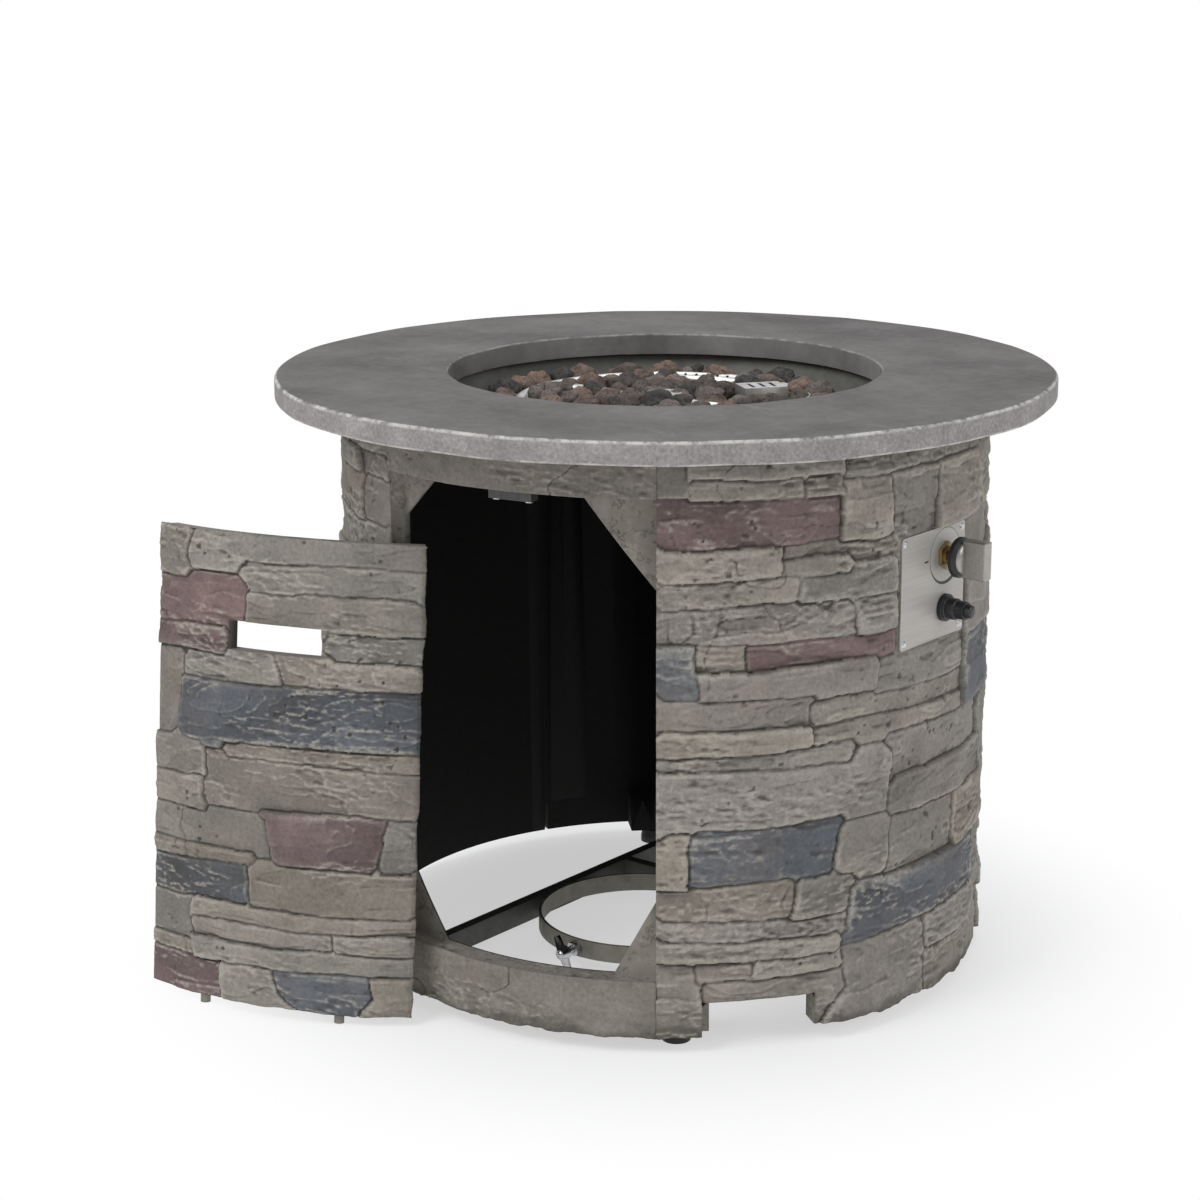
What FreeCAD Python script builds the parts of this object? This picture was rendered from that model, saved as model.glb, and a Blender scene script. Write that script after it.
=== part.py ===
import FreeCAD, Part
import math
import os

# Round fire pit table: a cast ledge-stone body with a lift-out door, a cast top with a gas burner
# bowl, and a strap ring on the floor frame that holds the gas tank.
# Millimetres. Origin on the table's axis at floor level, +Z up, +X through the control plate.
# A bearing is an angle about Z, counted from -Y towards +X.

V = FreeCAD.Vector
UP = V(0, 0, 1)

# Table top
table_height = 610.0
top_radius = 395.0
top_thick = 23.0
hole_radius = 220.0
top_edge_round = 3.0
hole_edge_round = 2.0

# Cast body
wall_outer = 325.0
wall_thick = 22.0
body_bottom = 18.0
stone_proud = 6.0
stone_joint = 3.5
stone_bevel = 2.0
stone_root = 4.0

# Doorway, seen from outside
door_bearing = 10.0
door_span = 52.5
sill_height = 74.0
lintel_height = 44.0
seat_thick = 8.0
gusset_top_left = (50.0, 48.0)
gusset_top_right = (66.0, 90.0)
gusset_low_right = (38.0, 76.0)
gusset_low_left = (50.0, 62.0)

# Cut-outs in the bottom rim, one beside each foot
arch_count = 4
arch_bearing = 54.0
arch_span = 20.0
arch_height = 34.0

# Levelling feet
foot_bearing = 40.0
foot_radius = 288.0
foot_count = 4
pad_radius = 14.0
pad_height = 14.5
pad_groove = 1.5
pad_sole = 7.0
pad_straight = 6.5
stem_radius = 4.0
stem_length = 34.0
boss_span = 11.0
boss_depth = 34.0
boss_top = 56.0
stem_clearance = 0.3

# Door panel
door_gap = 2.0
door_thick = 16.0
peg_spread = 13.5
peg_radius = 5.0
peg_bore = 2.6
peg_length = 11.0
peg_root = 12.0
peg_hole_clearance = 1.0
peg_hole_extra = 3.0
slot_width = 102.0
slot_height = 29.0
slot_above_middle = 133.0
strike_width = 40.0
strike_height = 14.0
strike_thick = 1.5
strike_inset = 2.0

# Where the door stands when it is off
stand_x = -169.0
stand_y = -419.0
stand_turn = 17.4
stand_reach = 59.1

# Door catch under the lintel
catch_width = 46.0
catch_depth = 13.0
catch_height = 12.0
catch_lip = 1.2
catch_screw_radius = 2.0
catch_screw_length = 16.0
catch_screw_head = 1.5
catch_screw_spread = 17.48
catch_setback = 0.5
magnet_width = 20.7
magnet_height = 7.2
magnet_floor = 1.2
magnet_play = 0.2

# Floor frame and tank ring
bar_thick = 12.0
bar_bottom = 12.0
bar_height = 23.0
long_bar_x = -115.0
ring_y = -38.0
ring_inner = 106.0
ring_strap = 3.0
ring_height = 19.0
bar_end_gap = 0.2
tab_width = 44.0
tab_thick = 4.0
frame_bolt_radius = 3.0
frame_bolt_length = 20.0
frame_bolt_spread = 15.0

# Tank screw
tank_screw_radius = 4.0
tank_screw_length = 30.0
tank_nut_flats = 13.0
tank_nut_thick = 8.0
tank_screw_inside = -0.5
wing_hub_radius = 7.0
wing_hub_length = 11.0
wing_reach = 19.0
wing_thick = 3.0
wing_slant = 65.0
wing_hub_end = 5.25
wing_sweep = 2.0
wing_tip = 6.6
wing_root = 4.2
wing_fit = 0.02
thread_clearance = 0.4
lug_half_span = 7.0

# Control plate
plate_face = 325.0
plate_thick = 1.5
plate_width = 112.0
plate_height = 110.0
plate_corner = 4.0
plate_recess_gap = 1.0
window_width = 84.0
window_height = 100.0
plate_screw_inset = 6.0
plate_fit = 0.4
plate_screw_radius = 1.8
plate_screw_length = 16.0
plate_screw_head = 1.6
control_y = 21.0

# Gas valve and knob
knob_drop = 153.0
bonnet_radius = 9.0
bonnet_reach = 6.0
valve_depth = 42.0
valve_width = 32.0
valve_tall = 38.0
valve_setback = 12.0
valve_nut_flats = 25.0
valve_nut_thick = 4.0
valve_stem_radius = 4.0
stem_fit = 0.4
stem_end_gap = 1.0
shoulder_radius = 13.0
shoulder_length = 5.0
valve_chamfer = 3.0
nut_fit = 0.05
collar_radius = 7.5
collar_thick = 2.0
collar_gap = 0.5
knob_travel = 3.0
skirt_gap = 14.0
skirt_radius = 20.0
skirt_thick = 8.0
skirt_web = 1.0
skirt_rim = 4.8
grip_radius = 16.5
grip_dome = 6.0
grip_bar_width = 13.0
grip_bar_length = 38.0
grip_bar_height = 26.0
grip_bar_round = 1.5
inlet_radius = 8.0
inlet_length = 17.0
inlet_straight = 10.2
inlet_nose = 4.8
inlet_bore = 3.2
inlet_flats = 17.6
inlet_hex = 4.25

# Push-button igniter
control_spacing = 52.0
igniter_radius = 11.0
igniter_depth = 54.0
igniter_flange = 13.5
igniter_neck = 7.0
igniter_nut_thick = 5.0
igniter_cap_radius = 10.5
igniter_cap_length = 19.0
igniter_cap_floor = 3.0
igniter_cap_step = 1.5
igniter_cup_length = 8.55
igniter_end = 2.0
flange_thick = 3.0
button_radius = 6.5
button_proud = 7.0
button_travel = 3.0
button_gap = 1.5
battery_radius = 7.2
battery_length = 50.0
battery_cap = 1.5
battery_cap_radius = 2.8
battery_play = 0.5
battery_gap = 0.2
slide_fit = 0.15

# Burner bowl
pan_sheet = 1.5
pan_radius = 232.5
pan_flange = 18.0
pan_slope = 12.0
pan_depth = 41.0
pan_screw_count = 6
pan_screw_radius = 2.5
pan_screw_length = 12.0
pan_screw_head = 2.0
pan_screw_bearing = 20.0
pan_screw_inset = 7.2
burner_radius = 147.0
burner_tube = 8.0
burner_drop = 15.0
hub_radius = 18.0
hub_height = 24.0
mixer_radius = 10.0
mixer_length = 52.0
mixer_fit = 0.1
mixer_bore = 7.0
mixer_air_radius = 3.0
mixer_air_height = 12.0
mixer_clearance = 0.5
mixer_nut_flats = 30.0
mixer_nut_thick = 7.0
ring_post_radius = 5.0
ring_post_count = 3
ring_post_bearing = 30.0
seat_gap = 0.3
gas_pipe_radius = 4.8
gas_pipe_bend = 22.0
gas_pipe_drop = 79.0

# Pilot
pilot_bearing = 144.0
pilot_radius = 104.0
hood_length = 46.0
hood_width = 34.0
hood_height = 17.0
hood_drop = 1.0
hood_sheet = 1.2
hood_slots = 3
hood_slot_width = 4.0
hood_slot_length = 22.0
probe_radius = 2.4
probe_height = 26.0
electrode_radius = 3.0
electrode_height = 24.0
probe_spacing = 16.0

# Lava rock, laid on the floor of the bowl in rings of (radius, count, stone size)
rock_rings = ((193.0, 31, 38.0), (104.0, 15, 38.0), (58.0, 7, 38.0))
rock_height = 36.0
rock_turn = 41.0

# Top brackets
bracket_bearing = 60.0
bracket_count = 4
bracket_span = 8.0
bracket_sheet = 2.0
bracket_drop = 40.0
bracket_reach = 36.0
bracket_bolt_radius = 3.0
bracket_bolt_length = 14.0
bolt_head_height = 4.0
leg_sagitta = 0.2

# Sizes that follow from the ones above
body_top = table_height - top_thick
knob_height = table_height - knob_drop
wall_inner = wall_outer - wall_thick
door_left = door_bearing - door_span / 2
door_right = door_bearing + door_span / 2
door_head = body_top - lintel_height
seat_radius = wall_inner + seat_thick
door_inner = seat_radius + 1.0
door_outer = door_inner + door_thick
door_tall = door_head - sill_height - 2 * door_gap
door_half = door_span / 2 - math.degrees(door_gap / door_outer)
peg_ring = door_inner + door_thick / 2
stand_lean = math.degrees(math.asin(stand_reach / door_tall))
igniter_height = knob_height - control_spacing
plate_middle = knob_height - control_spacing / 2
plate_back = plate_face - plate_thick
bowl_floor = body_top - pan_depth + pan_sheet
burner_height = body_top - burner_drop
gas_pipe_height = body_top - gas_pipe_drop
hood_top = body_top - hood_drop
mixer_top = burner_height - 1.0
valve_back = plate_back - valve_setback
valve_middle = valve_back - valve_depth / 2
bar_top = bar_bottom + bar_height
hole_extra = 10.0


def at(radius, bearing, z):
    turn = math.radians(bearing)
    return V(radius * math.sin(turn), -radius * math.cos(turn), z)


def outward(bearing):
    return at(1.0, bearing, 0.0)


def ring_block(r1, r2, z1, z2, b1, b2):
    """A sector of a ring with square edges, from bearing b1 to bearing b2."""
    corners = [V(r1, 0, z1), V(r2, 0, z1), V(r2, 0, z2), V(r1, 0, z2)]
    face = Part.Face(Part.makePolygon(corners + corners[:1]))
    block = face.revolve(V(0, 0, 0), UP, b2 - b1)
    block.rotate(V(0, 0, 0), UP, b1 - 90.0)
    return block


def round_ring(r1, r2, z1, z2):
    outer = Part.makeCylinder(r2, z2 - z1, V(0, 0, z1))
    return outer.cut(Part.makeCylinder(r1, z2 - z1, V(0, 0, z1)))


def hexagon(flats, thick, base, direction):
    corner = flats / math.sqrt(3)
    points = [V(corner * math.cos(math.radians(60 * i)), corner * math.sin(math.radians(60 * i)), 0)
              for i in range(6)]
    nut = Part.Face(Part.makePolygon(points + points[:1])).extrude(V(0, 0, thick))
    nut.Placement = FreeCAD.Placement(base, FreeCAD.Rotation(UP, direction))
    return nut


def tube_piece(outer, bore, length, base, direction):
    pipe = Part.makeCylinder(outer, length, base, direction)
    return pipe.cut(Part.makeCylinder(bore, length, base, direction))


def save(name, shape):
    shape.exportStep("parts/" + name + ".step")


# Ledge stones of the cast body, laid by hand where the mould shows its pattern: first bearing,
# last bearing, lower and upper height as drawn on a wall of drawn_bottom to drawn_top.
drawn_bottom = 18.0
drawn_top = 587.0
front_stones = (
    (42, 68, 561, 573), (42, 60, 540, 560), (61, 67, 540, 560), (38, 67, 495, 539),
    (68, 77, 492, 550), (78, 89, 492, 552), (90, 105, 492, 553), (68, 110, 554, 573),
    (37, 56, 466, 493), (57, 78, 482, 494), (57, 69, 466, 480), (37, 59, 442, 463),
    (60, 78, 438, 464), (37, 70, 406, 440), (71, 79, 402, 437), (51, 79, 378, 401),
    (37, 42.5, 355, 403), (43, 50.5, 380, 404), (43, 75, 352, 377), (76, 100, 340, 372),
    (37, 62, 323, 350), (63, 101, 318, 338), (37, 62, 299, 321), (63, 100, 300, 317),
    (101, 123, 300, 365), (37, 70, 283, 297), (37, 78, 226, 281), (79, 110, 254, 298),
    (80, 112, 214, 252), (42, 67, 172, 224), (68, 78, 168, 213), (79, 98, 163, 212),
    (37, 41, 170, 222), (37, 59, 134, 168), (60, 70, 130, 168), (37, 69, 113, 131),
    (37, 67, 94, 111), (43, 52, 75, 92), (53, 68, 75, 92), (45, 69, 52, 73),
    (70, 108, 100, 150), (70, 88, 22, 97), (89, 108, 62, 98), (90, 124, 22, 60),
    (99, 124, 158, 210), (102, 124, 440, 488), (101, 124, 370, 436), (111, 124, 492, 552),
    (111, 124, 215, 298), (109, 124, 102, 154), (112, 124, 556, 573), (37, 43, 22, 90),
)
course_heights = (31, 24, 44, 19, 38, 27, 52, 22, 34, 46, 20, 40, 28, 36, 48, 24, 32)
course_spans = (27, 18, 34, 22, 13, 30, 19, 25, 16)
course_start = 125.0
course_end = 343.0
proud_steps = (1.0, 0.55, 0.8, 0.4, 0.95, 0.65)


def course_stones():
    """Courses round the back, with joints that shift from course to course."""
    stones = []
    z = drawn_bottom + 4
    pick = 0
    for height in course_heights:
        top = min(z + height, drawn_top - 14)
        start = course_start
        while start < course_end - 6:
            end = min(start + course_spans[pick % len(course_spans)], course_end)
            if course_end - end < 6:
                end = course_end
            stones.append((start, end, z, top))
            start = end
            pick += 1
        pick += 2
        z = top
        if z >= drawn_top - 15:
            break
    return stones


def stone(wall, step, b1, b2, z1, z2):
    """One stone on a wall of the given radius: a block with sloping top and bottom arrises."""
    low = z1 + stone_joint / 2
    high = z2 - stone_joint / 2
    side = math.degrees(stone_joint / 2 / wall)
    face = wall + stone_proud * proud_steps[step % len(proud_steps)]
    root = wall - stone_root
    corners = [V(root, 0, low), V(wall, 0, low), V(face, 0, low + stone_bevel),
               V(face, 0, high - stone_bevel), V(wall, 0, high), V(root, 0, high)]
    block = Part.Face(Part.makePolygon(corners + corners[:1])).revolve(V(0, 0, 0), UP, b2 - b1 - 2 * side)
    block.rotate(V(0, 0, 0), UP, b1 + side - 90.0)
    return block


def body_stone(index, b1, b2, z1, z2):
    stretch = (body_top - body_bottom) / (drawn_top - drawn_bottom)
    low = body_bottom + (z1 - drawn_bottom) * stretch
    high = body_bottom + (z2 - drawn_bottom) * stretch
    return stone(wall_outer, index, b1, b2, low, high)


def door_axes():
    """Directions at the doorway: outwards and to the right, seen from outside."""
    out = outward(door_bearing)
    return out, out.cross(UP).negative()


def gusset(right, low, high, corner):
    """Triangle of wall kept in one corner of the doorway, behind the door."""
    out, along = door_axes()
    side = 1.0 if right else -1.0
    width, height = corner
    edge = seat_radius * math.sin(math.radians(door_span / 2)) + wall_thick
    inner = seat_radius * math.sin(math.radians(door_span / 2)) - width
    z_corner = low - wall_thick if high is None else high + wall_thick
    z_edge = low if high is None else high
    z_far = low + height if high is None else high - height
    points = [(inner, z_corner), (inner, z_edge), (edge - wall_thick, z_far), (edge, z_far),
              (edge, z_corner)]
    base = out * (wall_inner * 0.5)
    wire = [base + along * (side * u) + UP * z for u, z in points]
    return Part.Face(Part.makePolygon(wire + wire[:1])).extrude(out * wall_inner)


def doorway():
    """Everything that is cut away for the door: its seat, and the way through inside the seat."""
    seat = ring_block(seat_radius, wall_outer + 3 * stone_proud, sill_height, door_head,
                      door_left, door_right)
    way = ring_block(wall_inner - hole_extra, seat_radius + 1.0, sill_height, door_head,
                     door_left, door_right)
    for right, at_sill, corner in ((False, False, gusset_top_left), (True, False, gusset_top_right),
                                   (True, True, gusset_low_right), (False, True, gusset_low_left)):
        low = sill_height if at_sill else None
        high = None if at_sill else door_head
        way = way.cut(gusset(right, low, high, corner))
    return [seat, way]


def arch_cut(bearing):
    """Notch in the bottom rim with rounded upper corners."""
    out = outward(bearing)
    along = out.cross(UP)
    half = wall_outer * math.sin(math.radians(arch_span / 2))
    width = 2 * half
    box = Part.makeBox(width, 4 * wall_thick, 2 * arch_height, V(-half, 0, -arch_height))
    box = box.makeFillet(arch_height / 4, [e for e in box.Edges if abs(e.BoundBox.ZMin - arch_height) < 1e-6
                                           and e.BoundBox.ZLength < 1e-6 and e.BoundBox.YLength > wall_thick])
    box.Placement = FreeCAD.Placement(out * (wall_inner - 2 * wall_thick) + UP * body_bottom,
                                      FreeCAD.Rotation(along, out, UP))
    return box


def foot_bearings():
    return [foot_bearing + i * 360.0 / foot_count for i in range(foot_count)]


def bracket_bearings():
    return [bracket_bearing + i * 360.0 / bracket_count for i in range(bracket_count)]


def tab_centres():
    """Ends of the two floor bars: point on the bar's middle line and the way the bar runs there."""
    half = math.sqrt(wall_inner ** 2 - (abs(long_bar_x) + tab_width / 2) ** 2) - bar_end_gap
    cross_y = ring_y + ring_inner + ring_strap + bar_thick / 2
    reach = math.sqrt(wall_inner ** 2 - (abs(cross_y) + tab_width / 2) ** 2) - bar_end_gap
    middle = bar_bottom + bar_height / 2
    return {"front": (V(long_bar_x, -half, middle), V(0, -1, 0)),
            "back": (V(long_bar_x, half, middle), V(0, 1, 0)),
            "right": (V(reach, cross_y, middle), V(1, 0, 0))}


def tab_pad(centre, way):
    """Flat pad cast on the inside of the rim, for one bar end."""
    side = way.cross(UP)
    z1 = body_bottom
    z2 = bar_top + 6.0
    half = tab_width / 2 + 4.0
    start = centre + way * bar_end_gap - side * half
    start.z = z1
    pad = Part.makeBox(2 * half, 3 * wall_thick, z2 - z1)
    pad.Placement = FreeCAD.Placement(start, FreeCAD.Rotation(side, way, UP))
    return pad.common(Part.makeCylinder(wall_outer - wall_thick / 2, body_top))


def body_shell():
    shell = round_ring(wall_inner, wall_outer, body_bottom, body_top)
    blocks = [body_stone(i, *place) for i, place in enumerate(list(front_stones) + course_stones())]
    shell = shell.multiFuse(blocks)
    cuts = doorway()
    cuts += [arch_cut(arch_bearing + i * 360.0 / arch_count) for i in range(arch_count)]
    recess_half = plate_width / 2 + plate_recess_gap
    recess_low = plate_middle - plate_height / 2 - plate_recess_gap
    cuts.append(Part.makeBox(4 * wall_thick, 2 * recess_half, plate_height + 2 * plate_recess_gap,
                             V(plate_back, -recess_half, recess_low)))
    window = V(wall_inner - 3 * wall_thick, -window_width / 2, plate_middle - window_height / 2)
    cuts.append(Part.makeBox(6 * wall_thick, window_width, window_height, window))
    shell = shell.cut(cuts)
    for bearing in foot_bearings():
        shell = shell.fuse(ring_block(wall_inner - boss_depth, wall_inner + wall_thick / 2, body_bottom,
                                      boss_top, bearing - boss_span / 2, bearing + boss_span / 2))
    for centre, way in tab_centres().values():
        shell = shell.fuse(tab_pad(centre, way))
    holes = []
    for bearing in foot_bearings():
        foot = at(foot_radius, bearing, 0)
        holes.append(Part.makeCylinder(stem_radius + stem_clearance, stem_length, foot))
    peg_hole = peg_length + peg_hole_extra
    for side in (-1, 1):
        spot = at(peg_ring, door_bearing + side * peg_spread, sill_height - peg_hole)
        holes.append(Part.makeCylinder(peg_radius + peg_hole_clearance, peg_hole, spot))
        holes.append(catch_screw(side))
        holes += [frame_bolt(end, side) for end in tab_centres().values()]
    for y in (-1, 1):
        for z in (-1, 1):
            holes.append(plate_screw(y, z))
    holes += [bracket_screw(bearing) for bearing in bracket_bearings()]
    return shell.cut(holes)


def table_top():
    slab = round_ring(hole_radius, top_radius, body_top, table_height)
    outer = [e for e in slab.Edges if abs(e.BoundBox.XMax - top_radius) < 1e-3
             and e.BoundBox.ZLength < 1e-3]
    slab = slab.makeFillet(top_edge_round, outer)
    lip = [e for e in slab.Edges if abs(e.BoundBox.XMax - hole_radius) < 1e-3
           and abs(e.BoundBox.ZMin - table_height) < 1e-3]
    slab = slab.makeFillet(hole_edge_round, lip)
    holes = [bracket_bolt(bearing) for bearing in bracket_bearings()]
    holes += [pan_screw(i) for i in range(pan_screw_count)]
    return slab.cut(holes)


def pan_screw(i):
    bearing = pan_screw_bearing + i * 360.0 / pan_screw_count
    spot = at(pan_radius + pan_flange - pan_screw_inset, bearing, body_top - pan_sheet)
    shank = Part.makeCylinder(pan_screw_radius, pan_screw_length, spot)
    head = Part.makeCylinder(2 * pan_screw_radius, pan_screw_head, spot - UP * pan_screw_head)
    return shank.fuse(head)


def bracket(bearing):
    """Angle that holds the top to the body, with one leg under the slab and one down the wall."""
    b1 = bearing - bracket_span / 2
    b2 = bearing + bracket_span / 2
    leg = ring_block(wall_inner - bracket_sheet, wall_inner, body_top - bracket_drop, body_top, b1, b2)
    foot = ring_block(wall_inner - bracket_reach, wall_inner, body_top - bracket_sheet, body_top, b1, b2)
    return leg.fuse(foot).removeSplitter().cut([bracket_bolt(bearing), bracket_screw(bearing)])


def bracket_bolt(bearing):
    base = at(wall_inner - bracket_reach / 2, bearing, body_top - bracket_sheet)
    head = Part.makeCylinder(2 * bracket_bolt_radius, bolt_head_height, base - UP * bolt_head_height)
    return head.fuse(Part.makeCylinder(bracket_bolt_radius, bracket_bolt_length, base))


def bracket_screw(bearing):
    out = outward(bearing)
    base = at(wall_inner - bracket_sheet, bearing, body_top - bracket_drop * 0.65)
    head_base = base - out * bolt_head_height
    head = Part.makeCylinder(2 * bracket_bolt_radius, bolt_head_height + leg_sagitta, head_base, out)
    return head.fuse(Part.makeCylinder(bracket_bolt_radius, bracket_bolt_length, base, out))


def burner_pan():
    """Pressed bowl with a sloping foot and a flange that is screwed up under the top."""
    low = body_top - pan_depth
    r = pan_radius
    slope = pan_slope
    sheet = pan_sheet
    flange = r + pan_flange
    side = [V(0, 0, low), V(r - slope, 0, low), V(r, 0, low + slope), V(r, 0, body_top - sheet),
            V(flange, 0, body_top - sheet), V(flange, 0, body_top), V(r - sheet, 0, body_top),
            V(r - sheet, 0, low + slope + sheet / 2), V(r - slope - sheet / 2, 0, low + sheet),
            V(0, 0, low + sheet)]
    pan = Part.Face(Part.makePolygon(side + side[:1])).revolve(V(0, 0, 0), UP, 360)
    holes = [Part.makeCylinder(mixer_radius + mixer_clearance, pan_depth, V(0, 0, low - hole_extra))]
    holes += [pan_screw(i) for i in range(pan_screw_count)]
    return pan.cut(holes)


def burner_ring():
    """Ring burner of bent tube, with the cross tube that feeds it through a hub."""
    centre = V(0, 0, burner_height)
    ring = Part.makeTorus(burner_radius, burner_tube, centre)
    cross = Part.makeCylinder(burner_tube, 2 * burner_radius, centre - V(burner_radius, 0, 0), V(1, 0, 0))
    hub = Part.makeCylinder(hub_radius, hub_height, centre - UP * hub_height / 2)
    burner = ring.fuse([cross, hub])
    return burner.cut(Part.makeCylinder(mixer_radius, hub_height / 2, centre - UP * hub_height / 2))


def mixer():
    """Air mixer under the bowl: a brass tube with two air holes, let into the hub."""
    low = mixer_top - mixer_length
    body = tube_piece(mixer_radius - mixer_fit, mixer_bore, mixer_length, V(0, 0, low), UP)
    air = V(0, -2 * mixer_radius, low + mixer_air_height)
    return body.cut(Part.makeCylinder(mixer_air_radius, 4 * mixer_radius, air, V(0, 1, 0)))


def mixer_nut():
    under = body_top - pan_depth
    nut = hexagon(mixer_nut_flats, mixer_nut_thick, V(0, 0, under - mixer_nut_thick), UP)
    return nut.cut(Part.makeCylinder(mixer_radius, mixer_nut_thick, V(0, 0, under - mixer_nut_thick)))


def ring_posts():
    tall = burner_height - burner_tube - seat_gap - bowl_floor
    turns = [ring_post_bearing + i * 360.0 / ring_post_count for i in range(ring_post_count)]
    return [Part.makeCylinder(ring_post_radius, tall, at(burner_radius, turn, bowl_floor))
            for turn in turns]


def gas_pipe():
    """Bent pipe from the top of the valve, under the bowl, up into the air mixer."""
    start = V(valve_middle, control_y, knob_height + valve_tall / 2)
    end = V(0, 0, mixer_top - mixer_length)
    over_valve = V(valve_middle, control_y, gas_pipe_height)
    under_mixer = V(0, 0, gas_pipe_height)
    way = (under_mixer - over_valve).normalize()
    rise = (end.z - gas_pipe_height) * 0.9
    halfway = 1 - math.sqrt(0.5)
    low_1 = over_valve - UP * gas_pipe_bend
    mid_1 = over_valve + (way - UP) * (gas_pipe_bend * halfway)
    far_1 = over_valve + way * gas_pipe_bend
    near_2 = under_mixer - way * rise
    mid_2 = under_mixer + (UP - way) * (rise * halfway)
    top_2 = under_mixer + UP * rise
    wire = Part.Wire([Part.makeLine(start, low_1), Part.Arc(low_1, mid_1, far_1).toShape(),
                      Part.makeLine(far_1, near_2), Part.Arc(near_2, mid_2, top_2).toShape(),
                      Part.makeLine(top_2, end)])
    circle = Part.Wire(Part.makeCircle(gas_pipe_radius, start, UP))
    return wire.makePipeShell([circle], True, True)


def pilot_place(shape):
    turn = FreeCAD.Rotation(UP, pilot_bearing + 90.0)
    shape.Placement = FreeCAD.Placement(at(pilot_radius, pilot_bearing, 0), turn)
    return shape


def pilot_hood():
    """Bent sheet hood with slots in its roof, standing on two legs."""
    low = hood_top - hood_height
    corner = V(-hood_length / 2, -hood_width / 2, low)
    box = Part.makeBox(hood_length, hood_width, hood_height, corner)
    inside = Part.makeBox(hood_length - 2 * hood_sheet, hood_width - 2 * hood_sheet, hood_height - hood_sheet,
                          corner + V(hood_sheet, hood_sheet, 0))
    hood = box.cut(inside)
    pitch = hood_length / (hood_slots + 1)
    for i in range(hood_slots):
        x = -hood_length / 2 + (i + 1) * pitch - hood_slot_width / 2
        hood = hood.cut(Part.makeBox(hood_slot_width, hood_slot_length, 3 * hood_sheet,
                                     V(x, -hood_slot_length / 2, hood_top - 2 * hood_sheet)))
    for side in (-1, 1):
        x = side * (hood_length / 2 - hood_sheet / 2) - hood_sheet / 2
        leg = Part.makeBox(hood_sheet, hood_width / 2, low - bowl_floor, V(x, -hood_width / 4, bowl_floor))
        hood = hood.fuse(leg)
    return pilot_place(hood.removeSplitter())


def probe(side, radius, height):
    return pilot_place(Part.makeCylinder(radius, height, V(side * probe_spacing / 2, 0, bowl_floor)))


def rock(place, size, height, turn):
    """Lump of lava: a twenty-sided solid, squashed and cut flat where it lies."""
    golden = (1 + math.sqrt(5)) / 2
    raw = []
    for a in (-1, 1):
        for b in (-golden, golden):
            raw += [(0, a, b), (a, b, 0), (b, 0, a)]
    reach = math.sqrt(1 + golden ** 2)
    flat = 0.55
    points = []
    for i, (x, y, z) in enumerate(raw):
        swell = 1.0 - 0.16 * ((i * 7 + int(turn)) % 5) / 4.0
        z = max(z / reach * swell, -flat)
        points.append(V(x / reach * swell * size / 2, y / reach * swell * size / 2,
                        (z + flat) / (1 + flat) * height))
    faces = []
    edge = 2.0
    for i in range(12):
        for j in range(i + 1, 12):
            for k in range(j + 1, 12):
                sides = [(raw[i], raw[j]), (raw[j], raw[k]), (raw[k], raw[i])]
                if all(abs(math.dist(p, q) - edge) < 0.01 for p, q in sides):
                    triangle = [points[i], points[j], points[k]]
                    if (triangle[1] - triangle[0]).cross(triangle[2] - triangle[0]).Length > 1e-3:
                        faces.append(Part.Face(Part.makePolygon(triangle + triangle[:1])))
    lump = Part.Solid(Part.Shell(faces))
    if lump.Volume < 0:
        lump.reverse()
    lump.rotate(V(0, 0, 0), UP, turn)
    lump.translate(place)
    return lump


def lava_rocks():
    rocks = []
    pilot = at(pilot_radius, pilot_bearing, 0)
    for row, (radius, count, size) in enumerate(rock_rings):
        for i in range(count):
            spot = at(radius + 3.0 * ((i * 5) % 3 - 1), i * 360.0 / count + 11 * row, bowl_floor)
            near_cross = radius < burner_radius and abs(spot.y) < burner_tube + size / 2
            near_pilot = math.hypot(spot.x - pilot.x, spot.y - pilot.y) < hood_length / 2 + size / 2 + 2
            if near_cross or near_pilot:
                continue
            grow = 1.0 - 0.05 * ((i * 3 + row) % 4)
            tall = rock_height * (1.0 - 0.08 * ((i * 2 + row) % 5))
            rocks.append(rock(spot, size * grow, tall, rock_turn * i))
    return rocks


# Stones on the door, seen from outside: first and last angle from the door's middle, and heights
# above its lower edge as drawn on a door drawn_door tall and drawn_half degrees to each side.
drawn_door = 466.0
drawn_half = 26.0
door_stones = (
    (-26, -19, 424, 462), (-18, 26, 442, 462), (-5, 26, 413, 440), (-26, -6, 373, 413),
    (-5, 26, 378, 411), (11, 26, 350, 376), (-26, -10, 350, 371), (-19, 1, 321, 345), (2, 26, 325, 348),
    (-26, -20, 257, 345), (-19, 26, 262, 319), (-9, 26, 245, 260), (-26, -14, 222, 254),
    (-13, 26, 199, 243), (-26, -14, 190, 219), (-26, 0, 152, 187), (1, 20, 144, 196), (21, 26, 144, 196),
    (-26, -3, 138, 150), (-26, -4, 98, 136), (-3, 26, 98, 142), (-26, -16, 56, 95), (-15, 26, 80, 96),
    (-15, 12, 62, 78), (13, 26, 62, 78), (-26, -16, 40, 53), (-15, 26, 40, 59), (-26, -9, 5, 37),
    (-8, 2, 5, 37), (3, 19, 18, 37), (20, 26, 5, 37),
)


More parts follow.
